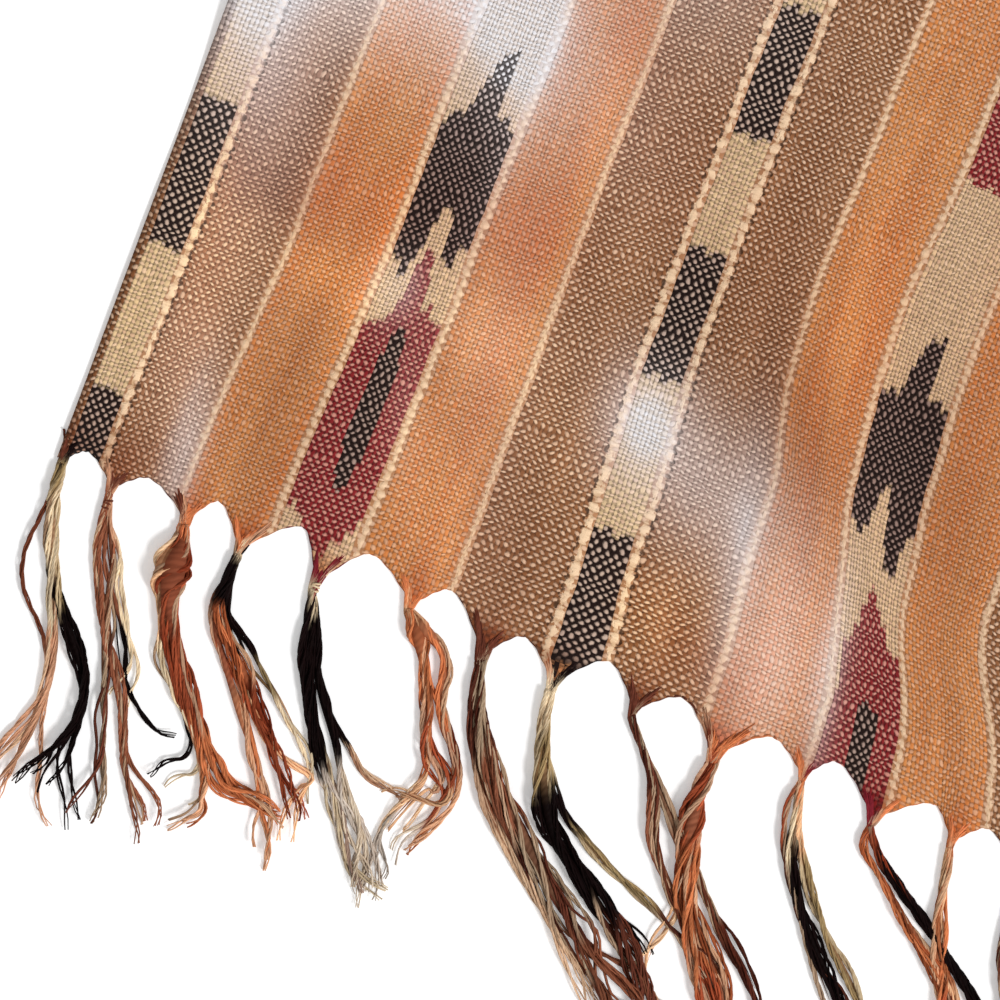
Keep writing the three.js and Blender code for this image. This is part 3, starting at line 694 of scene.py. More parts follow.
# Locks of the near hem's first tassels, by tassel: strands, width, dyes with the share of
# the lock's length at which each begins, and the places that the lock passes.
nearLocks = {
    1: [
        (9, 2.0, [("black", 0), ("olive", 0.03), ("cream", 0.2), ("tan", 0.5)],
         [(1.5, -8), (3.5, -15), (7, -25), (11, -35), (14.5, -45), (16, -55), (13.5, -64), (13, -74)]),
        (2, 0.8, [("brown", 0), ("tan", 0.55)],
         [(1, -7), (1.8, -12), (0.2, -21), (0.6, -30), (7, -35), (13, -41), (17, -54), (16.5, -64),
          (23.5, -77)]),
        (9, 3.2, [("black", 0), ("olive", 0.05), ("cream", 0.14), ("black", 0.36)],
         [(1.8, -8), (4, -15), (8, -26), (12, -34), (18, -38), (22, -46), (23, -53), (21, -60),
          (19.5, -69)]),
        (3, 2.2, [("olive", 0), ("black", 0.42)],
         [(2, -8), (4, -16), (9, -28), (14, -36), (21, -43), (25.5, -50), (22.5, -59), (29, -72)]),
    ],
    2: [
        (8, 1.9, [("brown", 0), ("brown", 0.6)],
         [(13.3, -9), (14, -12.4), (13.6, -16.3), (15.2, -21), (18.4, -25), (21.5, -31.7), (25.4, -39),
          (30.2, -45.7), (33.5, -51), (37, -59), (40.4, -65), (44, -70.5)]),
        (7, 1.9, [("brown", 0), ("umber", 0.5)],
         [(13.5, -9), (15.4, -12), (18.3, -16.7), (20, -21.5), (19.4, -25), (21.3, -31.7), (24, -39),
          (27, -47), (30.5, -55), (31.9, -63), (31.7, -72)]),
        (3, 0.9, [("tan", 0), ("cream", 0.3)],
         [(13.6, -9), (17, -14.5), (21, -19.5), (23, -26), (28, -33), (30.6, -40), (31.5, -46)]),
        (2, 0.7, [("brown", 0), ("black", 0.45)],
         [(13.4, -9), (16, -16), (21, -25), (26, -36), (30, -43), (36, -47), (46, -49)]),
    ],
    3: [
        (22, 4.4, [("rust", 0), ("rust", 0.3), ("orange", 0.62)],
         [(31, -9), (31, -16), (32.5, -23), (37, -31), (43, -40), (49, -48), (57, -54), (68, -55.5)]),
        (6, 2.4, [("peach", 0), ("rust", 0.3), ("orange", 0.6)],
         [(30, -9), (30, -16), (32, -24), (36, -33), (42, -41), (50, -49), (53.5, -56), (55.5, -62),
          (50, -65)]),
        (5, 1.6, [("peach", 0), ("cream", 0.35)],
         [(29.6, -9), (29.4, -15), (31.5, -25), (35, -35), (43, -43), (50, -49.5), (52, -56), (48, -62)]),
        (2, 0.8, [("rust", 0), ("black", 0.62)],
         [(31, -9), (32, -18), (36, -32), (44, -44), (48, -50), (47, -53), (42.5, -54), (40.5, -58.5)]),
    ],
    4: [
        (8, 2.6, [("cream", 0), ("black", 0.05), ("rust", 0.24), ("orange", 0.5)],
         [(42.4, -11), (43, -16), (41, -21.5), (46, -28), (52, -36), (58, -44), (65, -52), (69, -58),
          (71.5, -66)]),
        (9, 3.6, [("cream", 0), ("black", 0.05), ("orange", 0.24), ("rust", 0.55)],
         [(42.2, -11), (42.6, -16), (40.8, -21), (47, -26), (54, -33), (61, -40), (67, -47), (74, -55)]),
        (4, 1.5, [("cream", 0), ("black", 0.05), ("olive", 0.44), ("cream", 0.6)],
         [(42.6, -11), (43.2, -17), (45, -22.5), (52, -25.5), (56, -30), (62, -34), (68, -40), (74, -44),
          (76, -50)]),
        (3, 1.4, [("black", 0), ("peach", 0.4)],
         [(42.5, -12), (42.5, -20), (52, -31), (62, -43), (70, -47), (74, -43.5), (76, -48), (72.5, -52),
          (75, -58)]),
    ],
    5: [
        (10, 2.6, [("cream", 0), ("black", 0.07), ("grey", 0.62)],
         [(60.8, -11), (61.2, -17), (62.3, -22), (65.2, -28.3), (68.1, -33.7), (72.5, -41.8), (78.6, -48.2),
          (86, -54.5), (91.2, -64)]),
        (4, 1.3, [("cream", 0), ("black", 0.14), ("tan", 0.7)],
         [(61, -11), (64, -19), (68.8, -29), (74.5, -35.7), (81.6, -41.6), (88.8, -46.5)]),
        (6, 1.9, [("cream", 0), ("black", 0.07), ("grey", 0.6)],
         [(60.9, -11), (63.1, -18.3), (68.3, -29.3), (74.4, -36.8), (77.3, -41.1), (79.8, -46.6),
          (89.2, -56), (91.4, -66)]),
        (5, 2.2, [("cream", 0), ("black", 0.12), ("cream", 0.58)],
         [(60.8, -11), (62.5, -19.6), (68.8, -33.5), (78.3, -47.2), (80.6, -54), (87.3, -62), (92.7, -68)]),
    ],
    6: [
        (9, 2.8, [("peach", 0), ("orange", 0.08), ("rust", 0.4), ("peach", 0.75)],
         [(81.6, -8), (85, -12), (88, -18), (91, -25), (94, -33), (99, -37), (102, -42), (97, -44),
          (91, -46)]),
        (7, 2.2, [("peach", 0), ("orange", 0.1), ("rust", 0.5), ("orange", 0.7)],
         [(82, -8), (87, -10.5), (91.5, -13), (92.6, -17), (91.5, -20), (96, -27), (101, -32), (104, -39),
          (102.5, -47), (99.5, -54)]),
        (5, 1.5, [("orange", 0), ("peach", 0.55), ("grey", 0.8)],
         [(81.8, -8), (86, -15), (90, -23), (93, -32), (97, -38), (95, -44), (91.8, -50), (92, -58),
          (93, -66)]),
        (3, 1.6, [("orange", 0), ("rust", 0.5), ("grey", 0.85)],
         [(82, -8), (88, -17), (94, -25), (99, -30), (102, -37), (101, -45), (97, -51), (96, -57)]),
    ],
    7: [
        (26, 5.0, [("umber", 0), ("brown", 0.25), ("umber", 0.5), ("brown", 0.75)],
         [(99, -14), (99.8, -20), (103, -26), (110, -34), (120, -44), (131, -53), (141, -62), (150, -70),
          (154, -74)]),
        (7, 2.2, [("umber", 0), ("brown", 0.3), ("tan", 0.5)],
         [(98.6, -14), (99.2, -20), (102, -28), (108, -38), (117, -46), (127, -55), (137, -63),
          (146, -71)]),
    ],
    8: [
        (18, 4.2, [("cream", 0), ("olive", 0.12), ("black", 0.3), ("umber", 0.7)],
         [(114.4, -14.5), (115.4, -20), (118, -28), (122, -36), (127, -43), (137, -49), (147, -56),
          (156, -66), (160, -72)]),
        (5, 1.5, [("cream", 0), ("black", 0.3), ("olive", 0.45), ("umber", 0.75)],
         [(114.6, -14.5), (116, -21), (120, -30), (127, -37), (137, -42), (146, -46.5), (156, -50),
          (166, -57)]),
        (3, 1.0, [("cream", 0), ("black", 0.5)],
         [(114.2, -14.5), (115, -20), (119, -31), (125, -41), (134, -45), (144, -51), (153, -58)]),
    ],
    9: [
        (9, 2.6, [("umber", 0), ("brown", 0.3)],
         [(132.6, -13), (136, -17), (142, -24), (143, -30), (147, -37), (153, -43), (160, -50),
          (168, -58), (176, -70)]),
        (8, 2.4, [("umber", 0), ("brown", 0.3), ("umber", 0.6)],
         [(133, -13), (138, -19), (144, -25), (149, -31), (157, -39), (165, -47), (173, -52), (180, -60),
          (186, -72)]),
    ],
    10: [
        (18, 4.2, [("rust", 0), ("orange", 0.3), ("rust", 0.7)],
         [(150.7, -17), (150.7, -22), (151.6, -30), (154.5, -39), (158, -47), (163, -55), (169, -63),
          (177, -73)]),
        (8, 2.6, [("rust", 0), ("orange", 0.3), ("brown", 0.8)],
         [(150.4, -17), (149.8, -22), (151, -31), (155, -41), (161, -49), (167, -54), (174, -62),
          (184, -75)]),
        (4, 1.8, [("rust", 0), ("peach", 0.55), ("orange", 0.8)],
         [(150.4, -17), (150, -24), (152, -35), (156, -46), (153.5, -53), (152.5, -59), (155, -64.5),
          (162, -67)]),
    ],
    11: [
        (10, 2.5, [("orange", 0), ("cream", 0.08), ("black", 0.24)],
         [(170.6, -12), (171, -18), (173, -26), (178, -34), (183, -42), (190, -48), (198, -57),
          (206, -72)]),
        (6, 1.8, [("orange", 0), ("peach", 0.08), ("olive", 0.26)],
         [(170.8, -12), (171.6, -18), (174.6, -26), (181, -34), (188, -42), (196, -48.5), (205, -58),
          (213, -70)]),
        (4, 1.2, [("orange", 0), ("rust", 0.1), ("umber", 0.3)],
         [(170, -11), (167.8, -15), (169, -20), (172, -27), (178, -36), (185, -45), (193, -54),
          (202, -68)]),
    ],
    12: [
        (8, 2.0, [("burgundy", 0), ("orange", 0.08), ("peach", 0.6)],
         [(186.6, -16.6), (186, -18.8), (184.5, -19.6), (190, -23), (198, -29), (207, -36), (217, -45),
          (227, -56), (234, -68)]),
        (9, 2.2, [("burgundy", 0), ("rust", 0.05), ("black", 0.14)],
         [(187.2, -16.6), (187.6, -18.6), (191, -21), (198, -26), (207, -32), (217, -39), (227, -49),
          (236, -62), (241, -72)]),
    ],
    13: [
        (9, 1.8, [("orange", 0), ("rust", 0.5)],
         [(204.6, -14), (206, -18), (205.6, -24), (208, -33), (213, -43), (220, -54), (229, -65),
          (237, -75)]),
        (5, 1.3, [("peach", 0), ("rust", 0.3)],
         [(204.2, -14), (205, -19), (206.6, -27), (211, -37), (219, -48), (229, -58), (239, -70)]),
    ],
}
tieMarks = {2: ("umber", -7.5), 5: ("cream", -8.5), 8: ("cream", -12.5)}

stripeDye = {"block": "black", "border": "tan", "brown": "umber", "orange": "orange", "flame": "burgundy"}
restDyes = {
    "block": [("black", 0), ("cream", 0.35), ("black", 0.7)],
    "brown": [("umber", 0), ("brown", 0.3), ("tan", 0.8)],
    "orange": [("rust", 0), ("orange", 0.25), ("rust", 0.7)],
    "flame": [("burgundy", 0), ("black", 0.25), ("grey", 0.75)],
    "border": [("cream", 0), ("olive", 0.4), ("tan", 0.8)],
}


def generalLocks(place, kind, draw):
    # Locks of a tassel that no table gives: two or three along its own drape.
    x, y, bendX, bendY, tipX, tipY = place
    lateX, lateY = blendOf(bendX, tipX, 0.55), blendOf(bendY, tipY, 0.6)
    locks = []
    count = int(draw.integers(2, 4))
    for number in range(count):
        side = (number - (count - 1) / 2) * yarn["lockGap"]
        neck = (x + side * 0.1, y - 5)
        early = (x + side * 0.25 + draw.normal(0, 0.6), y - 14)
        middle = (bendX + side * 0.7 + draw.normal(0, 1.2), bendY + draw.normal(0, 2))
        late = (lateX + side + draw.normal(0, 1.5), lateY + side * 0.3)
        tip = (tipX + side * 0.8 + draw.normal(0, 1.5), tipY + side * 0.5 + draw.uniform(-2, 3))
        via = [neck, early, middle, late, tip]
        locks.append((round(yarn["strands"] / count), draw.uniform(2, 4.2), restDyes[kind], via))
    return locks


def fanStarts(hem, number, count):
    # Where the warp ends of one tassel leave the weave, with the reach and the height of the
    # arch on their side. The outermost tassels have no arch on one side, but a short slope.
    tops = hem["tops"]
    x, y = hem["row"][number, :2]
    left = tops[number - 1] if number > 0 else (x - 2, y + 6)
    right = tops[number] if number < len(tops) else (x + 2, y + 6)
    startX = x + yarn["fanShare"] * np.linspace(left[0] - x, right[0] - x, count)
    onLeft = startX < x
    return startX, np.where(onLeft, x - left[0], right[0] - x), np.where(onLeft, left[1], right[1])


def stripeTints(hem, x):
    # Dyes of the warp ends that come to the hem at x.
    return np.array([dyes[stripeDye[endKinds[end]]] for end in endNumber(x, hem["v"])])


def strandTints(steps, firstTints, lockDyes, cordOf, draw):
    # Colour along each yarn of a lock: its stripe's dye first, then the lock's own, in one
    # shade for each cord.
    share = np.linspace(0, 1, steps)[None, :, None]
    tints = np.repeat(firstTints[:, None], steps, 1)
    cords = cordOf.max() + 1
    for name, begins in lockDyes:
        at = yarn["dyesFrom"] + begins * (1 - yarn["dyesFrom"])
        at = at + draw.normal(0, yarn["dyeStray"], cords)[cordOf, None, None]
        shade = np.array(dyes[name]) * draw.uniform(*yarn["cordShades"], (cords, 1, 1))
        kind = draw.random((cords, 1, 1))
        light = kind < yarn["lighter"] * (name != "black")
        shade = blendOf(shade, np.array(dyes["cream"]), light * yarn["bleach"])
        shade = shade * (1 - (kind > 1 - yarn["darker"]) * yarn["darkness"])
        shade = shade[cordOf] * draw.uniform(*yarn["yarnShades"], (len(cordOf), 1, 1))
        tints = blendOf(tints, shade, smooth((share - at) / yarn["dyeBlend"] + 0.5))
    return tints


def wayOf(tassel, via):
    # The way of a lock: its route, and at each step the share of it, the distance run, the
    # heading, the direction square to that, the swelling, and the knot's size and turn.
    route = easedRoute([(tassel.x, tassel.y - yarn["neck"])] + via, tassel.steps)
    share, run = np.linspace(0, 1, tassel.steps)[None], runAlong(route)
    heading = np.gradient(route, axis=0)
    heading /= np.linalg.norm(heading, axis=1, keepdims=True)
    bunAt, bunReach, bunSize, bunTurns = tassel.bun
    return SimpleNamespace(
        route=route,
        share=share,
        run=run,
        heading=heading,
        square=np.stack([-heading[:, 1], heading[:, 0]], 1),
        swell=0.45 + 0.55 * smooth(share / 0.3) + yarn["fray"] * smooth((share - 0.7) / 0.3),
        bun=bunSize * np.exp(-(((run - bunAt) / bunReach) ** 2)),
        bunTurn=2 * np.pi * bunTurns * smooth((run - bunAt) / bunReach / 2 + 0.5),
    )


def layYarns(way, width, strands, draw):
    # Paths and radii of a lock's yarns, with the cord of each. A cord keeps its own distance
    # from the route and goes round it, wanders, curls, and parts from the lock with its clump.
    # The yarns of one cord wind round its middle, and open out at its tip.
    cords = max(int(round(strands / yarn["perCord"])), 1)
    cordOf = np.arange(strands) * cords // strands
    clumps = yarn["clumps"]

    def each(values):
        # A value for each cord, handed on to its yarns.
        return np.asarray(values)[cordOf, None]

    share, run = way.share, way.run
    packing = np.sqrt(each(draw.uniform(*yarn["packing"], cords)))
    radius = (width / 2 * way.swell + way.bun) * packing
    angle = each(draw.uniform(0, 2 * np.pi, cords))
    angle = angle + 2 * np.pi * run / yarn["twistPitch"] * each(draw.normal(*yarn["spin"], cords))
    angle = angle + way.bunTurn
    waves = share * np.pi * each(draw.uniform(*yarn["waves"], cords))
    waves = waves + each(draw.uniform(0, 6.28, cords))
    wander = each(draw.normal(0, yarn["wander"], cords)) * np.sin(waves) * smooth(share / 0.4)
    curls = np.sin(share * each(draw.uniform(*yarn["curls"], cords)))
    curl = each(draw.normal(0, yarn["curl"], cords)) * smooth((share - 0.72) / 0.28) * curls
    clump = draw.integers(0, clumps, cords)
    parting = smooth((share - draw.uniform(*yarn["partsFrom"])) / yarn["parts"])
    aside = draw.normal(0, yarn["clumpSpread"], clumps) * np.sqrt(width / 3)
    bend = draw.normal(0, yarn["clumpCurl"], clumps)
    phase = each(draw.uniform(*yarn["bends"], clumps)[clump]) * share
    curl = curl + (each(aside[clump]) + each(bend[clump]) * np.sin(phase * np.pi)) * parting
    opened = smooth((share - yarn["tipShare"]) / (1 - yarn["tipShare"]))
    wind = draw.uniform(0, 2 * np.pi, (strands, 1))
    wind = wind + 2 * np.pi * run / yarn["cordPitch"] * each(draw.normal(*yarn["wind"], cords))
    orbit = yarn["cordRadius"] * (1 + 1.2 * opened * draw.uniform(0, 1, (strands, 1)))
    across = radius * np.cos(angle) * (1 - 0.45 * parting) + wander + curl + orbit * np.cos(wind)
    height = radius * yarn["flatness"] * (1 + np.sin(angle)) + orbit * (1 + np.sin(wind))
    plan = way.route[None] + across[..., None] * way.square[None]
    plan += way.heading[None] * (each(draw.normal(0, yarn["uneven"], cords)) * share**3)[..., None]
    thin = draw.uniform(*yarn["thickness"], (strands, 1))
    thick = yarn["radius"] * thin * (1 - 0.5 * opened) * (1 + 0.2 * way.bun)
    height = yarn["radius"] + yarn["floor"] + height + 0.5 * (1 - share)
    return np.concatenate([plan, height[..., None]], -1), thick, cordOf


def looseWarp(tassel, mine, first, draw):
    # Paths and radii of a lock's warp ends between the weave and its yarns' first points:
    # they come out a little inside the hem, follow its edge and sink to the knot.
    share = np.linspace(0, 1, yarn["fanSteps"], endpoint=False)[None]
    left = 1 - share
    x = blendOf(tassel.startX[mine, None], first[:, :1], 1 - left**1.4)
    away = np.clip(np.abs(x - tassel.x) / tassel.reach[mine, None], 0, 1)
    topY = tassel.topY[mine, None]
    edge = hemProfile(away, topY, tassel.y)
    woven = hemProfile(away[:, :1], topY, tassel.foot)
    inside = woven - edge[:, :1] + draw.uniform(*yarn["fanInside"], (len(x), 1))
    y = edge + inside * left + 0.25 * left
    y = blendOf(y, first[:, 1:2], smooth((share - 0.5) * 2) * 0.9)
    z = cloth["wall"] * 0.75 + 0.7 * smooth(share / 0.4) - 0.3 * smooth((share - 0.6) / 0.4)
    thick = yarn["radius"] * (0.4 + 0.65 * smooth(share / 0.6))
    return np.stack([x, y, z + 0 * x], -1), thick + 0 * x


def buildLock(tassel, lock, mine, draw):
    # Paths, radii and tints of one lock's yarns, and of its core. The core is solid, keeps the
    # lock together until its cords part, and is tinted darker as painted shade inside the lock.
    strands, width, lockDyes, via = lock
    way = wayOf(tassel, via)
    laid, thick, cordOf = layYarns(way, width, strands, draw)
    loose, looseThick = looseWarp(tassel, mine, laid[:, 0], draw)
    paths, radii = np.concatenate([loose, laid], 1), np.concatenate([looseThick, thick], 1)
    firstTints = stripeTints(tassel.hem, tassel.startX[mine])
    firstTints = firstTints * draw.uniform(*yarn["fanTints"], (strands, 1))
    tints = strandTints(paths.shape[1], firstTints, lockDyes, cordOf, draw)
    core = yarn["coreSize"] * width / 2 * way.swell + 0.8 * way.bun
    core = np.maximum((core * (1 - smooth((way.share - 0.5) / 0.3)))[0], 0.05)
    height = yarn["radius"] + yarn["floor"] + core * 0.9 + 0.25 * (1 - way.share[0])
    middle = np.concatenate([way.route, height[:, None]], 1)
    shade = tints[:, yarn["fanSteps"] :].mean(0) * yarn["coreShade"]
    kept = int(tassel.steps * yarn["coreKept"])
    return (paths, radii, tints), (middle[None, :kept], core[None, :kept], shade[None, :kept])


def lastPick(tassel):
    # The last pick of the weft: one uneven yarn along the hem on both sides of a tassel, tinted
    # darker as painted shade.
    step = np.linspace(-1, 1, yarn["pickSteps"])
    x = tassel.x + step * np.where(step < 0, tassel.reach[0], tassel.reach[-1])
    crest = np.where(step < 0, tassel.topY[0], tassel.topY[-1])
    y = hemProfile(np.abs(step), crest, tassel.foot) + 0.12 + 0.12 * np.sin(step * 19 + tassel.number)
    path = np.stack([x, y, 0.55 + 0.1 * np.sin(step * 31)], -1)
    tints = stripeTints(tassel.hem, x) * yarn["pickShade"]
    return path[None], np.full((1, len(step)), yarn["pickRadius"]), tints[None]


def tieRound(tassel, dye, height):
    # A thread wound a few times round the knot, at this height over the hem's line.
    turns = np.linspace(0, 2 * np.pi * yarn["tieTurns"], yarn["tieSteps"])
    x = tassel.x + 0.3 + 0.85 * np.cos(turns)
    y = height - turns * 0.1 + 0.25 * np.cos(turns * 0.7)
    path = np.stack([x, y, 1.15 + 0.85 * np.sin(turns)], -1)
    return path[None], np.full((1, len(turns)), yarn["tieRadius"]), np.tile(dyes[dye], (1, len(turns), 1))


def buildTassel(name, hem, number, locks, tie, draw):
    # One mesh from a tassel's yarns and cores, the last pick beside it and the tie round it.
    locks = [(int(round(lock[0] * yarn["perStrand"])), *lock[1:]) for lock in locks]
    x, y = hem["row"][number, :2]
    startX, reach, topY = fanStarts(hem, number, sum(lock[0] for lock in locks))
    tassel = SimpleNamespace(hem=hem, number=number, x=x, y=y, startX=startX, reach=reach, topY=topY)
    tassel.foot = footOf(hem, x, y)
    if hem is nearHem:
        tassel.bun = buns.get(number + 1, noBun)
        tassel.steps = yarn["bunSteps"] if tassel.bun[2] > bigBun else yarn["nearSteps"]
        sides = yarn["nearSides"]
    else:
        tassel.bun, tassel.steps, sides = noBun, yarn["farSteps"], yarn["farSides"]
    # Its locks share out the warp ends in the order in which they lie side by side.
    built, taken = [], 0
    for place in np.argsort([via[2][0] for strands, width, lockDyes, via in locks]):
        mine = slice(taken, taken + locks[place][0])
        built.append(buildLock(tassel, locks[place], mine, draw))
        taken = mine.stop
    sets = [[np.concatenate(arrays) for arrays in zip(*group)] for group in zip(*built)]
    sets.append(lastPick(tassel))
    if tie:
        sets.append(tieRound(tassel, *tie))
    points, faces, uv, colours, count = [], [], [], [], 0
    for (paths, radii, tints), around in zip(sets, (sides, yarn["coreSides"], yarn["pickSides"], sides)):
        paths[..., 1] = fromHem(hem, paths[..., 1])
        more, moreFaces, moreUv = tubes(paths, radii, around)
        faces += [corners + count for corners in moreFaces]
        points.append(more)
        uv.append(moreUv)
        colours.append(np.repeat(tints.reshape(-1, 3), around, 0))
        count += len(more)
    return addMesh(name, np.concatenate(points), faces, np.concatenate(uv), np.concatenate(colours))


def buildFringe():
    # Fringe pieces by the node that each replaces.
    pieces = {}
    for seed, hem in enumerate((nearHem, farHem)):
        row = hem["row"]
        ends = endNumber(row[:, 0], hem["v"])
        for number in range(tassels["perHem"]):
            draw = np.random.default_rng([7, number, seed])
            given = nearLocks.get(number + 1) if hem is nearHem else None
            if given:
                locks, tie = given, tieMarks.get(number + 1)
            else:
                locks = generalLocks(row[number], endKinds[ends[number]], draw)
                tie = ("cream", row[number, 1] - 3) if draw.random() < yarn["tieChance"] else None
            which = f"{hem['word']}_{number + 1:02d}"
            pieces["tassel_" + which] = buildTassel("fringe_" + which, hem, number, locks, tie, draw)
    return pieces


fringe = buildFringe()
print("fringe:", sum(len(piece.data.polygons) for piece in fringe.values()), "faces")


# ---- finishes


class Wire:
    # A shader value. Python's operators on it add Math nodes.
    def __init__(self, paint, socket):
        self.paint, self.socket = paint, socket

    def maths(self, operation, *others):
        return self.paint.node("ShaderNodeMath", {"operation": operation}, (self, *others))

    def __add__(self, other):
        return self.maths("ADD", other)

    def __sub__(self, other):
        return self.maths("SUBTRACT", other)

    def __mul__(self, other):
        return self.maths("MULTIPLY", other)

    def __truediv__(self, other):
        return self.maths("DIVIDE", other)

    def __mod__(self, other):
        return self.maths("FLOORED_MODULO", other)

    def __pow__(self, other):
        return self.maths("POWER", other)

    def __gt__(self, other):
        return self.maths("GREATER_THAN", other)

    def __lt__(self, other):
        return self.maths("LESS_THAN", other)

    def __rsub__(self, other):
        return self.paint.node("ShaderNodeMath", {"operation": "SUBTRACT"}, (other, self))

    def __abs__(self):
        return self.maths("ABSOLUTE")

    __radd__ = __add__
    __rmul__ = __mul__

    def least(self, other):
        # The smaller of two values.
        return self.maths("MINIMUM", other)

    def most(self, other):
        # The greater of two values.
        return self.maths("MAXIMUM", other)

    def whole(self):
        return self.maths("FLOOR")

    def sibling(self, number):
        # Another output of the node that this value comes from.
        return Wire(self.paint, self.socket.node.outputs[number])

    def soft(self, low, high):
        # 0 below low, 1 above high and a smooth rise between them.
        settings = {"interpolation_type": "SMOOTHSTEP"}
        return self.paint.node("ShaderNodeMapRange", settings, {0: self, 1: low, 2: high})


class Paint:
    # A material that is being put together.
    def __init__(self, name):
        self.material = bpy.data.materials.new(name)
        self.material.use_nodes = True
        self.tree = self.material.node_tree
        self.surface = self.tree.nodes["Principled BSDF"]

    def put(self, socket, value):
        if isinstance(value, Wire):
            self.tree.links.new(value.socket, socket)
        elif isinstance(value, tuple) and socket.type == "RGBA":
            socket.default_value = (*value, 1)
        else:
            socket.default_value = value

    def node(self, kind, settings, values=(), output=0):
        # A node of this kind: its settings first, then the values or links of its sockets.
        made = self.tree.nodes.new(kind)
        for key, setting in settings.items():
            if key == "stops":
                ramp = made.color_ramp
                ramp.interpolation = "CONSTANT"
                for number, (place, colour) in enumerate(setting):
                    stop = ramp.elements[0] if number == 0 else ramp.elements.new(place)
                    stop.position, stop.color = place, (*colour, 1)
                ramp.elements.remove(ramp.elements[-1])
            else:
                setattr(made, key, setting)
        pairs = values.items() if isinstance(values, dict) else enumerate(values)
        for key, value in pairs:
            self.put(made.inputs[key], value)
        return Wire(self, made.outputs[output])

    def mix(self, share, first, second, kind="MIX"):
        settings = {"data_type": "RGBA", "blend_type": kind}
        return self.node("ShaderNodeMix", settings, {0: share, 6: first, 7: second}, 2)

    def times(self, colour, factor):
        # Two colours multiplied.
        return self.mix(1.0, colour, factor, "MULTIPLY")

    def point(self, x, y, z=0.0):
        return self.node("ShaderNodeCombineXYZ", {}, (x, y, z))

    def noise(self, place, scale, detail=2.0):
        return self.node("ShaderNodeTexNoise", {}, {"Vector": place, "Scale": scale, "Detail": detail})

    def scatter(self, place):
        # A value from 0 to 1 that is the same wherever place is the same.
        return self.node("ShaderNodeTexWhiteNoise", {"noise_dimensions": "2D"}, {"Vector": place})

    def finish(self, colour, roughness, height, distance, **fixed):
        bump = self.node("ShaderNodeBump", {}, {"Strength": 1.0, "Distance": distance, "Height": height})
        self.put(self.surface.inputs["Base Color"], colour)
        self.put(self.surface.inputs["Roughness"], roughness)
        self.put(self.surface.inputs["Normal"], bump)
        for key, value in fixed.items():
            self.put(self.surface.inputs[key.replace("_", " ")], value)
        return self.material


stripeLooks = {
    # warp colour, its second tone, how much of it the weft takes on, its open holes, size
    # of the weft's ovals
    "brown": (linear(136, 84, 48), linear(166, 110, 70), 0.16, 0.12, 0.94),
    "orange": (linear(208, 120, 60), linear(230, 150, 84), 0.52, 0.14, 1.06),
    "border": (linear(188, 134, 94), linear(176, 122, 82), 0.3, 0.0, 1.0),
    "block": (linear(236, 202, 156), linear(222, 188, 142), 0.3, 0.42, 0.93),
    "flame": (linear(236, 196, 152), linear(226, 188, 146), 0.3, 0.4, 0.9),
}
weave = {
    "weft": linear(246, 208, 176),
    "weftDim": linear(160, 110, 80),
    "weftOnDark": linear(190, 170, 160),
    "weftOnClaw": linear(140, 112, 104),
    "weftOnRed": linear(208, 132, 122),
    "dark": linear(30, 10, 4),
    "red": linear(138, 30, 34),
    "shade": (0.0, 0.0, 0.0),
    # colour of the painted shade in the crevices between threads
    "paintedCreviceShadeColour": linear(34, 14, 8),
    # colour of the painted shade in the borders' open holes
    "holeShade": linear(100, 68, 42),
    "bobble": linear(242, 208, 172),
    "tiedDown": linear(190, 146, 104),
    # pale painted sheen: its warm colour, then the cool one at its peak
    "paleSheen": linear(252, 239, 236),
    "silverSheen": linear(238, 236, 240),
    "warm": linear(214, 112, 52),
    "glowLight": (1.45, 1.42, 1.2),  # what the colours are multiplied by for painted light
    # what the colours are multiplied by for painted shade
    "duskShade": (0.52, 0.42, 0.36),
    "bareWarp": (1.0, 0.62, 0.4),
    "bareFrom": 5.5,  # picks before the last one where the bare warp begins
    # share of the threads' own colour kept in the deepest painted crevice shade
    "paintedCreviceShade": 0.44,
    "paintedLightStrength": {"glowLight": 0.8, "duskShade": 0.75, "warm": 0.55},  # how strongly painted light, painted shade and warm tint show
    "fuzz": (0.25, 0.15),  # how much of the lint shows in the colour and in the height
    "roughness": 0.85,
    "sheen": 0.03,
    "specular": 0.2,
    "bump": 0.0004,
    "sway": 1.3,  # how far the ends wander, slowly and quickly
    "wobble": 0.55,
    "slip": 4.2,  # the same for the picks
    "jolt": 0.7,
    "feather": 1.1,
    "stagger": 2.2,
    "ovalAcross": (1.46, 0.22),  # how small the ovals are, and how much more so in dark dye
    "ovalAlong": (2.25, -0.3),
    "laterDrop": 9,  # from the second repeat on the red was tied a little lower
    "floatPicks": 2.0,
    "holeReach": 0.62,
}
# The weave's noises: scale across and along, shift across, layer and detail.
grains = {
    "sway": (0.11, 0.05, 0.0, 0.0, 3.0),
    "slip": (0.03, 0.1, 0.0, 7.0, 3.0),
    "wobble": (0.9, 0.22, 0.0, 0.0, 2.0),
    "jolt": (0.2, 0.8, 31.0, 0.0, 2.0),
    "tone": (0.16, 0.022, 0.0, 3.0, 3.0),
    "fray": (1.5, 0.8, 0.0, 0.0, 3.0),
}

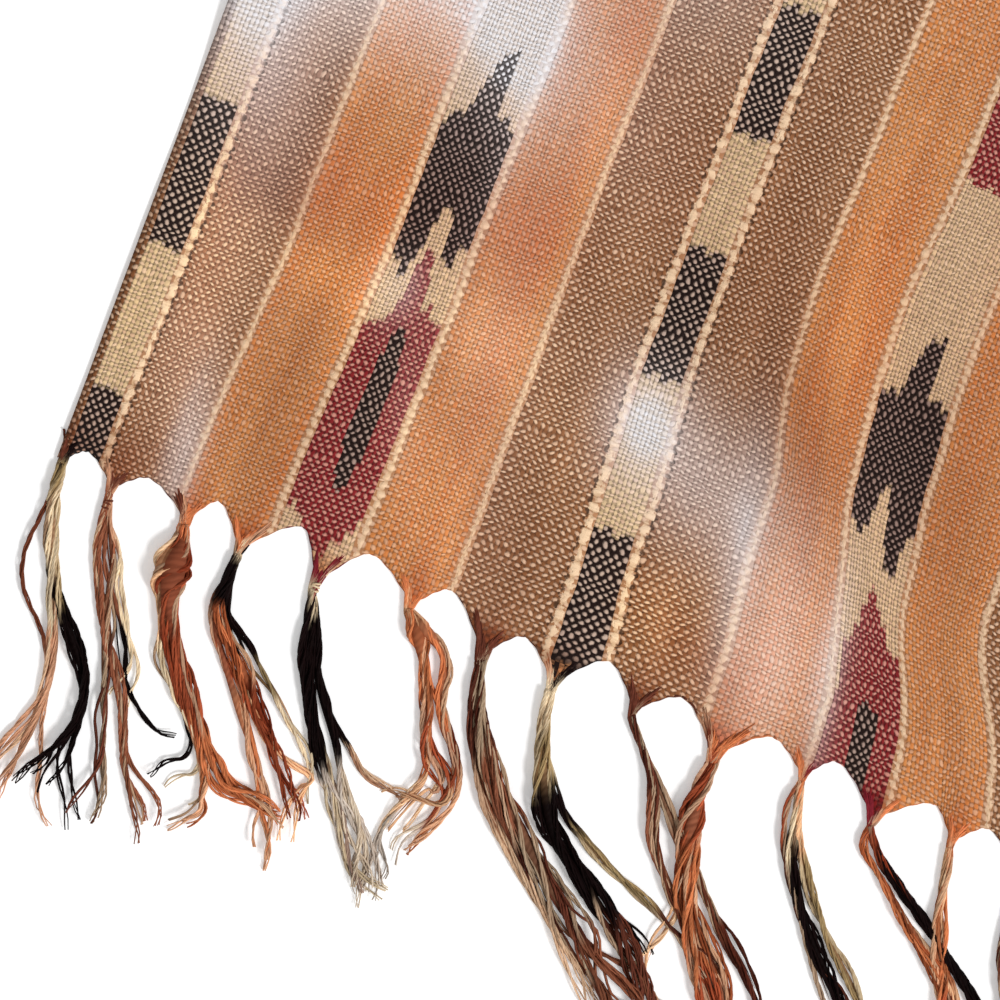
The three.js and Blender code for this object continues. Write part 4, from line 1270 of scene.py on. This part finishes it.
# The flame's tied shapes: for each, where it ends and where it begins along the dye's
# count, in steps from a warp end of the stripe onwards.
flameChart = {
    "clawTop": [
        (0, 93), (2, 95), (4, 94), (5, 97), (6, 101), (7, 104), (8, 107), (9, 110), (12, 112), (13, 96),
        (15, 97), (17, 94),
    ],
    "clawFoot": [
        (0, 63), (1, 61), (3, 58), (5, 62), (6, 65), (7, 71), (8, 75), (11, 73), (12, 64), (14, 63),
        (16, 68),
    ],
    "redTop": [
        (0, 47), (3, 48), (5, 50), (6, 54), (7, 62), (8, 66), (10, 65), (11, 60), (12, 52), (14, 54),
        (15, 51),
    ],
    "redFoot": [(0, 9), (2, 7), (5, 4), (7, 2), (11, 1), (13, 4), (16, 7), (18, 10)],
    "heartTop": [(0, 0), (7, 42), (8, 46), (9, 48), (11, 46), (12, 41), (13, 0)],
    "heartFoot": [(0, 60), (7, 22), (8, 17), (9, 14), (11, 15), (12, 20), (13, 60)],
    # from the second repeat on
    "laterRedTop": [
        (0, 44), (1, 48), (3, 50), (4, 54), (6, 59), (8, 64), (9, 65), (11, 61), (13, 57), (15, 51),
        (17, 49),
    ],
    "laterClawFoot": [
        (0, 66), (2, 63), (4, 66), (6, 70), (7, 75), (8, 78), (10, 74), (11, 64), (12, 60), (14, 59),
        (16, 63), (17, 68),
    ],
    "laterHeartTop": [(0, 0), (6, 43), (8, 45), (11, 44), (13, 41), (14, 0)],
}
chartTop = 120.0


def spansOf(kind):
    # First end and the end after the last for each stripe of a kind, through the repeat.
    stops = np.cumsum([ends for name, ends, pitch in repeatStripes]).tolist()
    rows = zip(repeatStripes, stops)
    return [(stop - ends, stop) for (name, ends, pitch), stop in rows if name == kind]


def followThreads(paint):
    # Which end and pick a place is at, and where within their crossing: both wander a little.
    place = paint.node("ShaderNodeUVMap", {"uv_map": "weave"})
    rawEnd = paint.node("ShaderNodeSeparateXYZ", {}, (place,))
    rawPick = rawEnd.sibling(1)

    def grain(name):
        # Noise over the threads, as the table of grains gives it.
        across, along, shift, layer, detail = grains[name]
        return paint.noise(paint.point(rawEnd * across + shift, rawPick * along, layer), 1.0, detail)

    jolt = grain("jolt")
    end = rawEnd + (grain("sway") - 0.5) * weave["sway"] + (grain("wobble") - 0.5) * weave["wobble"]
    pick = rawPick + (grain("slip") - 0.5) * weave["slip"] + (jolt - 0.5) * weave["jolt"]
    endNo, pickNo = end.whole(), pick.whole()
    overX, overY = end - endNo - 0.5, pick - pickNo - 0.5
    # Which stripe an end is in is counted through the repeat.
    inRepeat = (endNo - firstEnds + repeatEnds) % repeatEnds
    lastEnd = firstEnds + repeats * repeatEnds
    picks = cloth["length"] / cloth["pickPitch"]
    return SimpleNamespace(
        place=place,
        grain=grain,
        jolt=jolt,
        pick=pick,
        endNo=endNo,
        pickNo=pickNo,
        overX=overX,
        overY=overY,
        widthX=abs(overX),
        widthY=abs(overY),
        inRepeat=inRepeat,
        position=inRepeat + overX + 0.5,
        repeatNo=((endNo - firstEnds) / repeatEnds).whole(),
        atEdge=(endNo < 1.5).most(endNo > lastEnd - 0.5),
        # 0 past the last picks, 1 within them
        fell=rawPick.least(picks - rawPick).soft(-weave["bareFrom"], -1.0),
        chance=paint.scatter(paint.point(endNo, pickNo)),
        streak=paint.scatter(paint.point(endNo, 4.0)),
    )


def stripeRamp(paint, at, column):
    # The looks' value or colour for the stripe that an end is in.
    stops, start = [], 0
    for kind, ends, pitch in repeatStripes:
        value = stripeLooks[kind][column]
        stops.append((start / repeatEnds, value if isinstance(value, tuple) else (value,) * 3))
        start += ends
    return paint.node("ShaderNodeValToRGB", {"stops": stops}, ((at.inRepeat + 0.5) / repeatEnds,))


def tiedDyes(paint, at):
    # How dark and how red the tie-dyeing is. Each end's dye has slipped a little against its
    # neighbours.
    count = paint.node("ShaderNodeAttribute", {"attribute_name": "dye"}, output=2)
    pair = paint.scatter(paint.point((at.endNo * 0.5).whole(), 1.0))
    slipped = count + (pair - 0.5) * weave["stagger"] + (at.chance - 0.5) * weave["feather"]
    feather = weave["feather"] / 2
    inBlock = (at.inRepeat > spansOf("block")[0][0] - 0.5) * (1 - at.atEdge)
    every, half = 2 * tiePeriods["block"], tiePeriods["block"] / 2
    phase = abs(slipped % every - half)
    dark = inBlock * (1 - phase.least(every - phase).soft(half - feather, half + feather))
    start, stop = spansOf("flame")[0]
    flameEnds = stop - start
    inFlame = (at.inRepeat > start - 0.5) * (at.inRepeat < stop - 0.5)
    across = (at.inRepeat - start + 0.5) / flameEnds
    later = at.repeatNo > 0.5

    def chart(name):
        stops = [(first / flameEnds, (height / chartTop,) * 3) for first, height in flameChart[name]]
        return paint.node("ShaderNodeValToRGB", {"stops": stops}, (across,)) * chartTop

    def edgeOf(name):
        edge, laterName = chart(name), "later" + name[0].upper() + name[1:]
        return edge + later * (chart(laterName) - edge) if laterName in flameChart else edge

    def shape(name, height):
        over = (height - edgeOf(name + "Foot")).soft(-feather, feather)
        return (edgeOf(name + "Top") - height).soft(-feather, feather) * over * inFlame

    motif = slipped % tiePeriods["flame"]
    lower = motif + later * weave["laterDrop"]
    dark = dark.most(shape("claw", motif)).most(shape("heart", lower))
    return SimpleNamespace(dark=dark, red=shape("red", lower), inFlame=inFlame)


def warpColour(paint, at, dyed):
    # The stripe's two tones, streaked end by end, under the tie-dyeing.
    share = (at.grain("tone").soft(0.35, 0.68) * 0.7 + at.streak * 0.4).least(1.0)
    warp = paint.mix(share, stripeRamp(paint, at, 0), stripeRamp(paint, at, 1))
    warp = paint.mix(at.atEdge, warp, stripeLooks["brown"][0])
    warp = paint.mix(dyed.red, warp, weave["red"])
    warp = paint.mix(dyed.dark, warp, weave["dark"])
    warp = paint.mix(at.streak * 0.2, warp, weave["shade"])
    # Past the last picks the bare warp shows its dye.
    return paint.mix((1 - at.fell) * 0.7, warp, paint.times(warp, weave["bareWarp"]))


def plainWeave(paint, at, dyed, warp):
    # At every other crossing the weft is on top, in an oval that reaches over the ends beside
    # it. Elsewhere the warp rises in cosine humps. Gives colour, height and the weft's share;
    # the height also sets the painted shade in the crevices.
    openness = stripeRamp(paint, at, 3)
    odd = (at.endNo + at.pickNo) % 2
    even = 1 - odd
    towards = (at.overX > 0.0) * 2 - 1
    owner = at.endNo + even * towards
    chanceHere = paint.scatter(paint.point(owner + 0.5, at.pickNo))
    alongWarp = at.widthY + odd * (1 - at.widthY * 2)
    warpRise = (alongWarp * (math.pi / 2)).maths("COSINE") * (1 - (at.widthY * 2) ** 4 * 0.14)
    warpRise = warpRise * (1 - (at.widthX * 2) ** 4 * (0.06 + 0.3 * openness))
    loose = paint.noise(at.place, 0.14, 2.0)
    size = stripeRamp(paint, at, 4) * (0.7 + chanceHere * 0.3 + loose * 0.4)
    tilt = paint.scatter(paint.point(owner + 0.2, at.pickNo + 0.7)) - 0.5
    aside = at.overX - even * towards
    off = at.overY - tilt * aside * 0.7 + (chanceHere - 0.5) * 0.2
    across = aside * (weave["ovalAcross"][0] + dyed.dark * weave["ovalAcross"][1])
    along = off * (weave["ovalAlong"][0] + dyed.dark * weave["ovalAlong"][1]) / size
    oval = 1 - across**2 - along**2
    weftRise = oval.most(0.0) ** 0.5 * at.fell
    weft = paint.mix(stripeRamp(paint, at, 2), weave["weft"], warp)
    weft = paint.mix(chanceHere * 0.45, weft, weave["weftDim"])
    weft = paint.mix(dyed.dark * 0.6, weft, weave["weftOnDark"])
    weft = paint.mix(dyed.dark * dyed.inFlame * (0.8 - dyed.red * 0.3), weft, weave["weftOnClaw"])
    weft = paint.mix(dyed.red * (1 - dyed.dark) * 0.7, weft, weave["weftOnRed"])
    onTop = at.fell * oval.soft(-0.3, 0.85)
    # A ring round each oval and the open corners sink, so painted shade darkens them.
    rim = oval.soft(-0.75, -0.1) * (1 - oval.soft(0.0, 0.5)) * at.fell
    corner = (at.widthX + at.widthY).soft(0.5, 0.95) * (openness + 0.5 * at.chance**2)
    height = (weftRise * 0.95).most(warpRise) * (1 - rim * 0.12) * (1 - corner)
    return paint.mix(onTop, warp, weft), height, onTop


def floatBorders(paint, at, threads, height):
    # Borders: stout cream ends that float over some picks and are tied down by the next, the
    # more so beside the tied blocks. On the side of the brown stripe they leave open holes,
    # filled with painted shade.
    blockStart = spansOf("block")[0][0]
    inBorder = (stripeRamp(paint, at, 3) < 0.1) * (1 - at.atEdge)
    byBlock = (at.inRepeat < 1.5).most(at.inRepeat > blockStart - 2.5)
    middles = [start + 1.0 for start, stop in spansOf("border")]
    fromMiddle = abs(at.position - middles[0])
    for middle in middles[1:]:
        fromMiddle = fromMiddle.least(abs(at.position - middle))
    line = (at.inRepeat * 0.1).whole() * 0.37 + at.repeatNo * 0.21
    beats = (at.pick + (at.jolt - 0.5) * 3 * byBlock) / (weave["floatPicks"] + byBlock * 1.2) + line
    beat = abs(beats % 1 - 0.5) * 2
    depth = paint.scatter(paint.point(beats.whole(), line))
    fray = at.grain("fray")
    lump = (1 - beat**2) * (0.5 + depth)
    reach = 0.3 + 0.34 * lump + (fray - 0.5) * (1.4 + 1.2 * byBlock) + byBlock * (0.2 * lump - 0.06)
    bobble = (1 - (fromMiddle / reach) ** 2).most(0.0)
    tied = paint.mix(beat.soft(0.3, 1.0) * (0.35 + 0.5 * depth), weave["bobble"], weave["tiedDown"])
    stout = paint.mix(bobble.soft(0.0, 0.6) * (0.75 + 0.25 * byBlock), threads, tied)
    threads = paint.mix(inBorder, threads, stout)
    floatRise = bobble**0.5 * (1.3 - beat * 0.7)
    height = height + inBorder * (floatRise.most(height * 0.5 + 0.4) - height)
    fromHole = abs(at.position - 2.0).least(abs(at.position - (blockStart - 2)))
    holeShade = 1 - (fromHole / weave["holeReach"]) ** 2 - ((1 - beat) / (0.2 + 0.7 * fray)) ** 2
    holeShade = holeShade.soft(0.0, 0.9) * (0.5 + 0.5 * depth)
    return paint.mix(holeShade, threads, weave["holeShade"]), height * (1 - holeShade)


def paintedShadeAndLight(paint, dyed, threads, height, onTop):
    # Painted shade darkens the crevices between threads, and the cloth has patches of painted
    # light, painted shade, warm tint and pale painted sheen.
    shadow = height.soft(0.05, 0.9)
    shaded = paint.mix(shadow * (1 - weave["paintedCreviceShade"]) + weave["paintedCreviceShade"], weave["paintedCreviceShadeColour"], threads)
    paintedLight = paint.node("ShaderNodeAttribute", {"attribute_name": "tint"}, output=0)
    paleSheen = paint.node("ShaderNodeSeparateColor", {}, (paintedLight,))
    duskShade, warm, glowLight = paleSheen.sibling(1), paleSheen.sibling(2), paintedLight.sibling(3)
    shaded = paint.mix(glowLight * weave["paintedLightStrength"]["glowLight"], shaded, paint.times(shaded, weave["glowLight"]))
    shaded = paint.mix(duskShade * weave["paintedLightStrength"]["duskShade"], shaded, paint.times(shaded, weave["duskShade"]))
    warmed = paint.mix(0.55, shaded, weave["warm"], "OVERLAY")
    shaded = paint.mix(warm * weave["paintedLightStrength"]["warm"], shaded, warmed)
    sheenPeak = paleSheen.soft(0.6, 1.0)
    sheenVeil = paleSheen * (0.26 + 0.16 * sheenPeak + 0.36 * shadow + 0.2 * onTop)
    sheenVeil = sheenVeil * (1 - dyed.dark * 0.85 * (1 - onTop))
    return paint.mix(sheenVeil, shaded, paint.mix(sheenPeak, weave["paleSheen"], weave["silverSheen"]))


def clothFinish():
    # Threads first, then the borders over them, the painted shade, painted light and warm tints
    # over both and lint over all.
    paint = Paint("ikat_weave")
    at = followThreads(paint)
    dyed = tiedDyes(paint, at)
    threads, height, onTop = plainWeave(paint, at, dyed, warpColour(paint, at, dyed))
    threads, height = floatBorders(paint, at, threads, height)
    colour = paintedShadeAndLight(paint, dyed, threads, height, onTop)
    fuzz = paint.noise(at.place, 9.0, 3.0)
    colour = paint.mix(weave["fuzz"][0], colour, fuzz, "OVERLAY")
    height = height + fuzz * weave["fuzz"][1]
    fixed = {"Sheen_Weight": weave["sheen"], "Specular_IOR_Level": weave["specular"]}
    return paint.finish(colour, weave["roughness"], height, weave["bump"], **fixed)


spun = {
    "groove": (0.5, 0.42, 0.38),  # what the tint is multiplied by in the grooves, as painted shade
    # what the tint is multiplied by on the crests, as a painted highlight
    "crest": (1.18, 1.2, 1.24),
    "roughness": 0.7,
    "specular": 0.06,
    "bump": 0.00012,
}


def yarnFinish():
    # Two plies that wind round a yarn, with fibres and slubs, shade its tint: painted shade in
    # the grooves and a painted highlight on the crests.
    paint = Paint("cotton_yarn")
    tint = paint.node("ShaderNodeAttribute", {"attribute_name": "tint"}, output=0)
    place = paint.node("ShaderNodeUVMap", {"uv_map": "weave"})
    around = paint.node("ShaderNodeSeparateXYZ", {}, (place,))
    run = around.sibling(1)
    ply = ((around * 2 + run * 0.7) * (2 * math.pi)).maths("SINE") * 0.5 + 0.5
    fibre = paint.noise(paint.point(around * 9 + run * 1.4, run * 0.35), 1.0, 3.0)
    slub = paint.noise(paint.point(run * 0.22, around), 1.0, 2.0)
    height = ply * 0.35 + fibre
    shade = (height / 1.35).soft(0.15, 0.8) * 0.55 + slub.soft(0.3, 0.7) * 0.45
    colour = paint.mix(shade, paint.times(tint, spun["groove"]), paint.times(tint, spun["crest"]))
    fixed = {"Specular_IOR_Level": spun["specular"]}
    return paint.finish(colour, spun["roughness"], height, spun["bump"], **fixed)


wovenCloth.data.materials.append(clothFinish())
yarnMaterial = yarnFinish()
for piece in fringe.values():
    piece.data.materials.append(yarnMaterial)
print("finishes done")


# ---- frame, floor, light and camera

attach(wovenCloth, "root")
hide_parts("cloth")
for node, piece in fringe.items():
    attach(piece, "root")
    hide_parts(node)

studio = {
    "floorSize": 12.0,
    "floorColour": (0.96, 0.96, 0.96),
    "floorGlow": 0.22,
    "floorRoughness": 0.9,
    "worldStrength": 0.5,
    "sunStrength": 2.35,
    "sunTurn": (44, 0, 72),
    "sunAngle": 16,
    "sensorWidth": 36,
    "cameraHeight": 1.25,
    "cameraReach": 50,
    "viewWidth": 210.0,
    "viewMiddle": (90.2, 21.4),
    "viewTurn": 20.5,
}


def buildStudio():
    size = studio["floorSize"] / 2
    mesh = bpy.data.meshes.new("floor")
    corners = [(-size, -size, 0), (size, -size, 0), (size, size, 0), (-size, size, 0)]
    mesh.from_pydata(corners, [], [(0, 1, 2, 3)])
    floor = bpy.data.objects.new("floor", mesh)
    bpy.context.scene.collection.objects.link(floor)
    paint = Paint("studio_floor")
    paint.put(paint.surface.inputs["Base Color"], studio["floorColour"])
    paint.put(paint.surface.inputs["Roughness"], studio["floorRoughness"])
    paint.put(paint.surface.inputs["Emission Color"], studio["floorColour"])
    paint.put(paint.surface.inputs["Emission Strength"], studio["floorGlow"])
    floor.data.materials.append(paint.material)

    world = bpy.data.worlds.new("studio")
    world.use_nodes = True
    world.node_tree.nodes["Background"].inputs["Color"].default_value = (1, 1, 1, 1)
    world.node_tree.nodes["Background"].inputs["Strength"].default_value = studio["worldStrength"]
    bpy.context.scene.world = world

    light = bpy.data.lights.new("window", "SUN")
    light.energy = studio["sunStrength"]
    light.angle = math.radians(studio["sunAngle"])
    window = bpy.data.objects.new("window", light)
    window.rotation_euler = [math.radians(turn) for turn in studio["sunTurn"]]
    bpy.context.scene.collection.objects.link(window)

    lens = bpy.data.cameras.new("camera")
    lens.sensor_width = studio["sensorWidth"]
    lens.lens = studio["sensorWidth"] * studio["cameraHeight"] / (studio["viewWidth"] * mm)
    lens.clip_end = studio["cameraReach"]
    camera = bpy.data.objects.new("camera", lens)
    middle = toFrame(np.array([*studio["viewMiddle"], 0.0]))
    camera.location = (middle[0], middle[1], studio["cameraHeight"])
    camera.rotation_euler = (0, 0, math.radians(studio["viewTurn"]))
    bpy.context.scene.collection.objects.link(camera)
    bpy.context.scene.camera = camera
    bpy.context.scene.view_settings.view_transform = "Standard"


buildStudio()
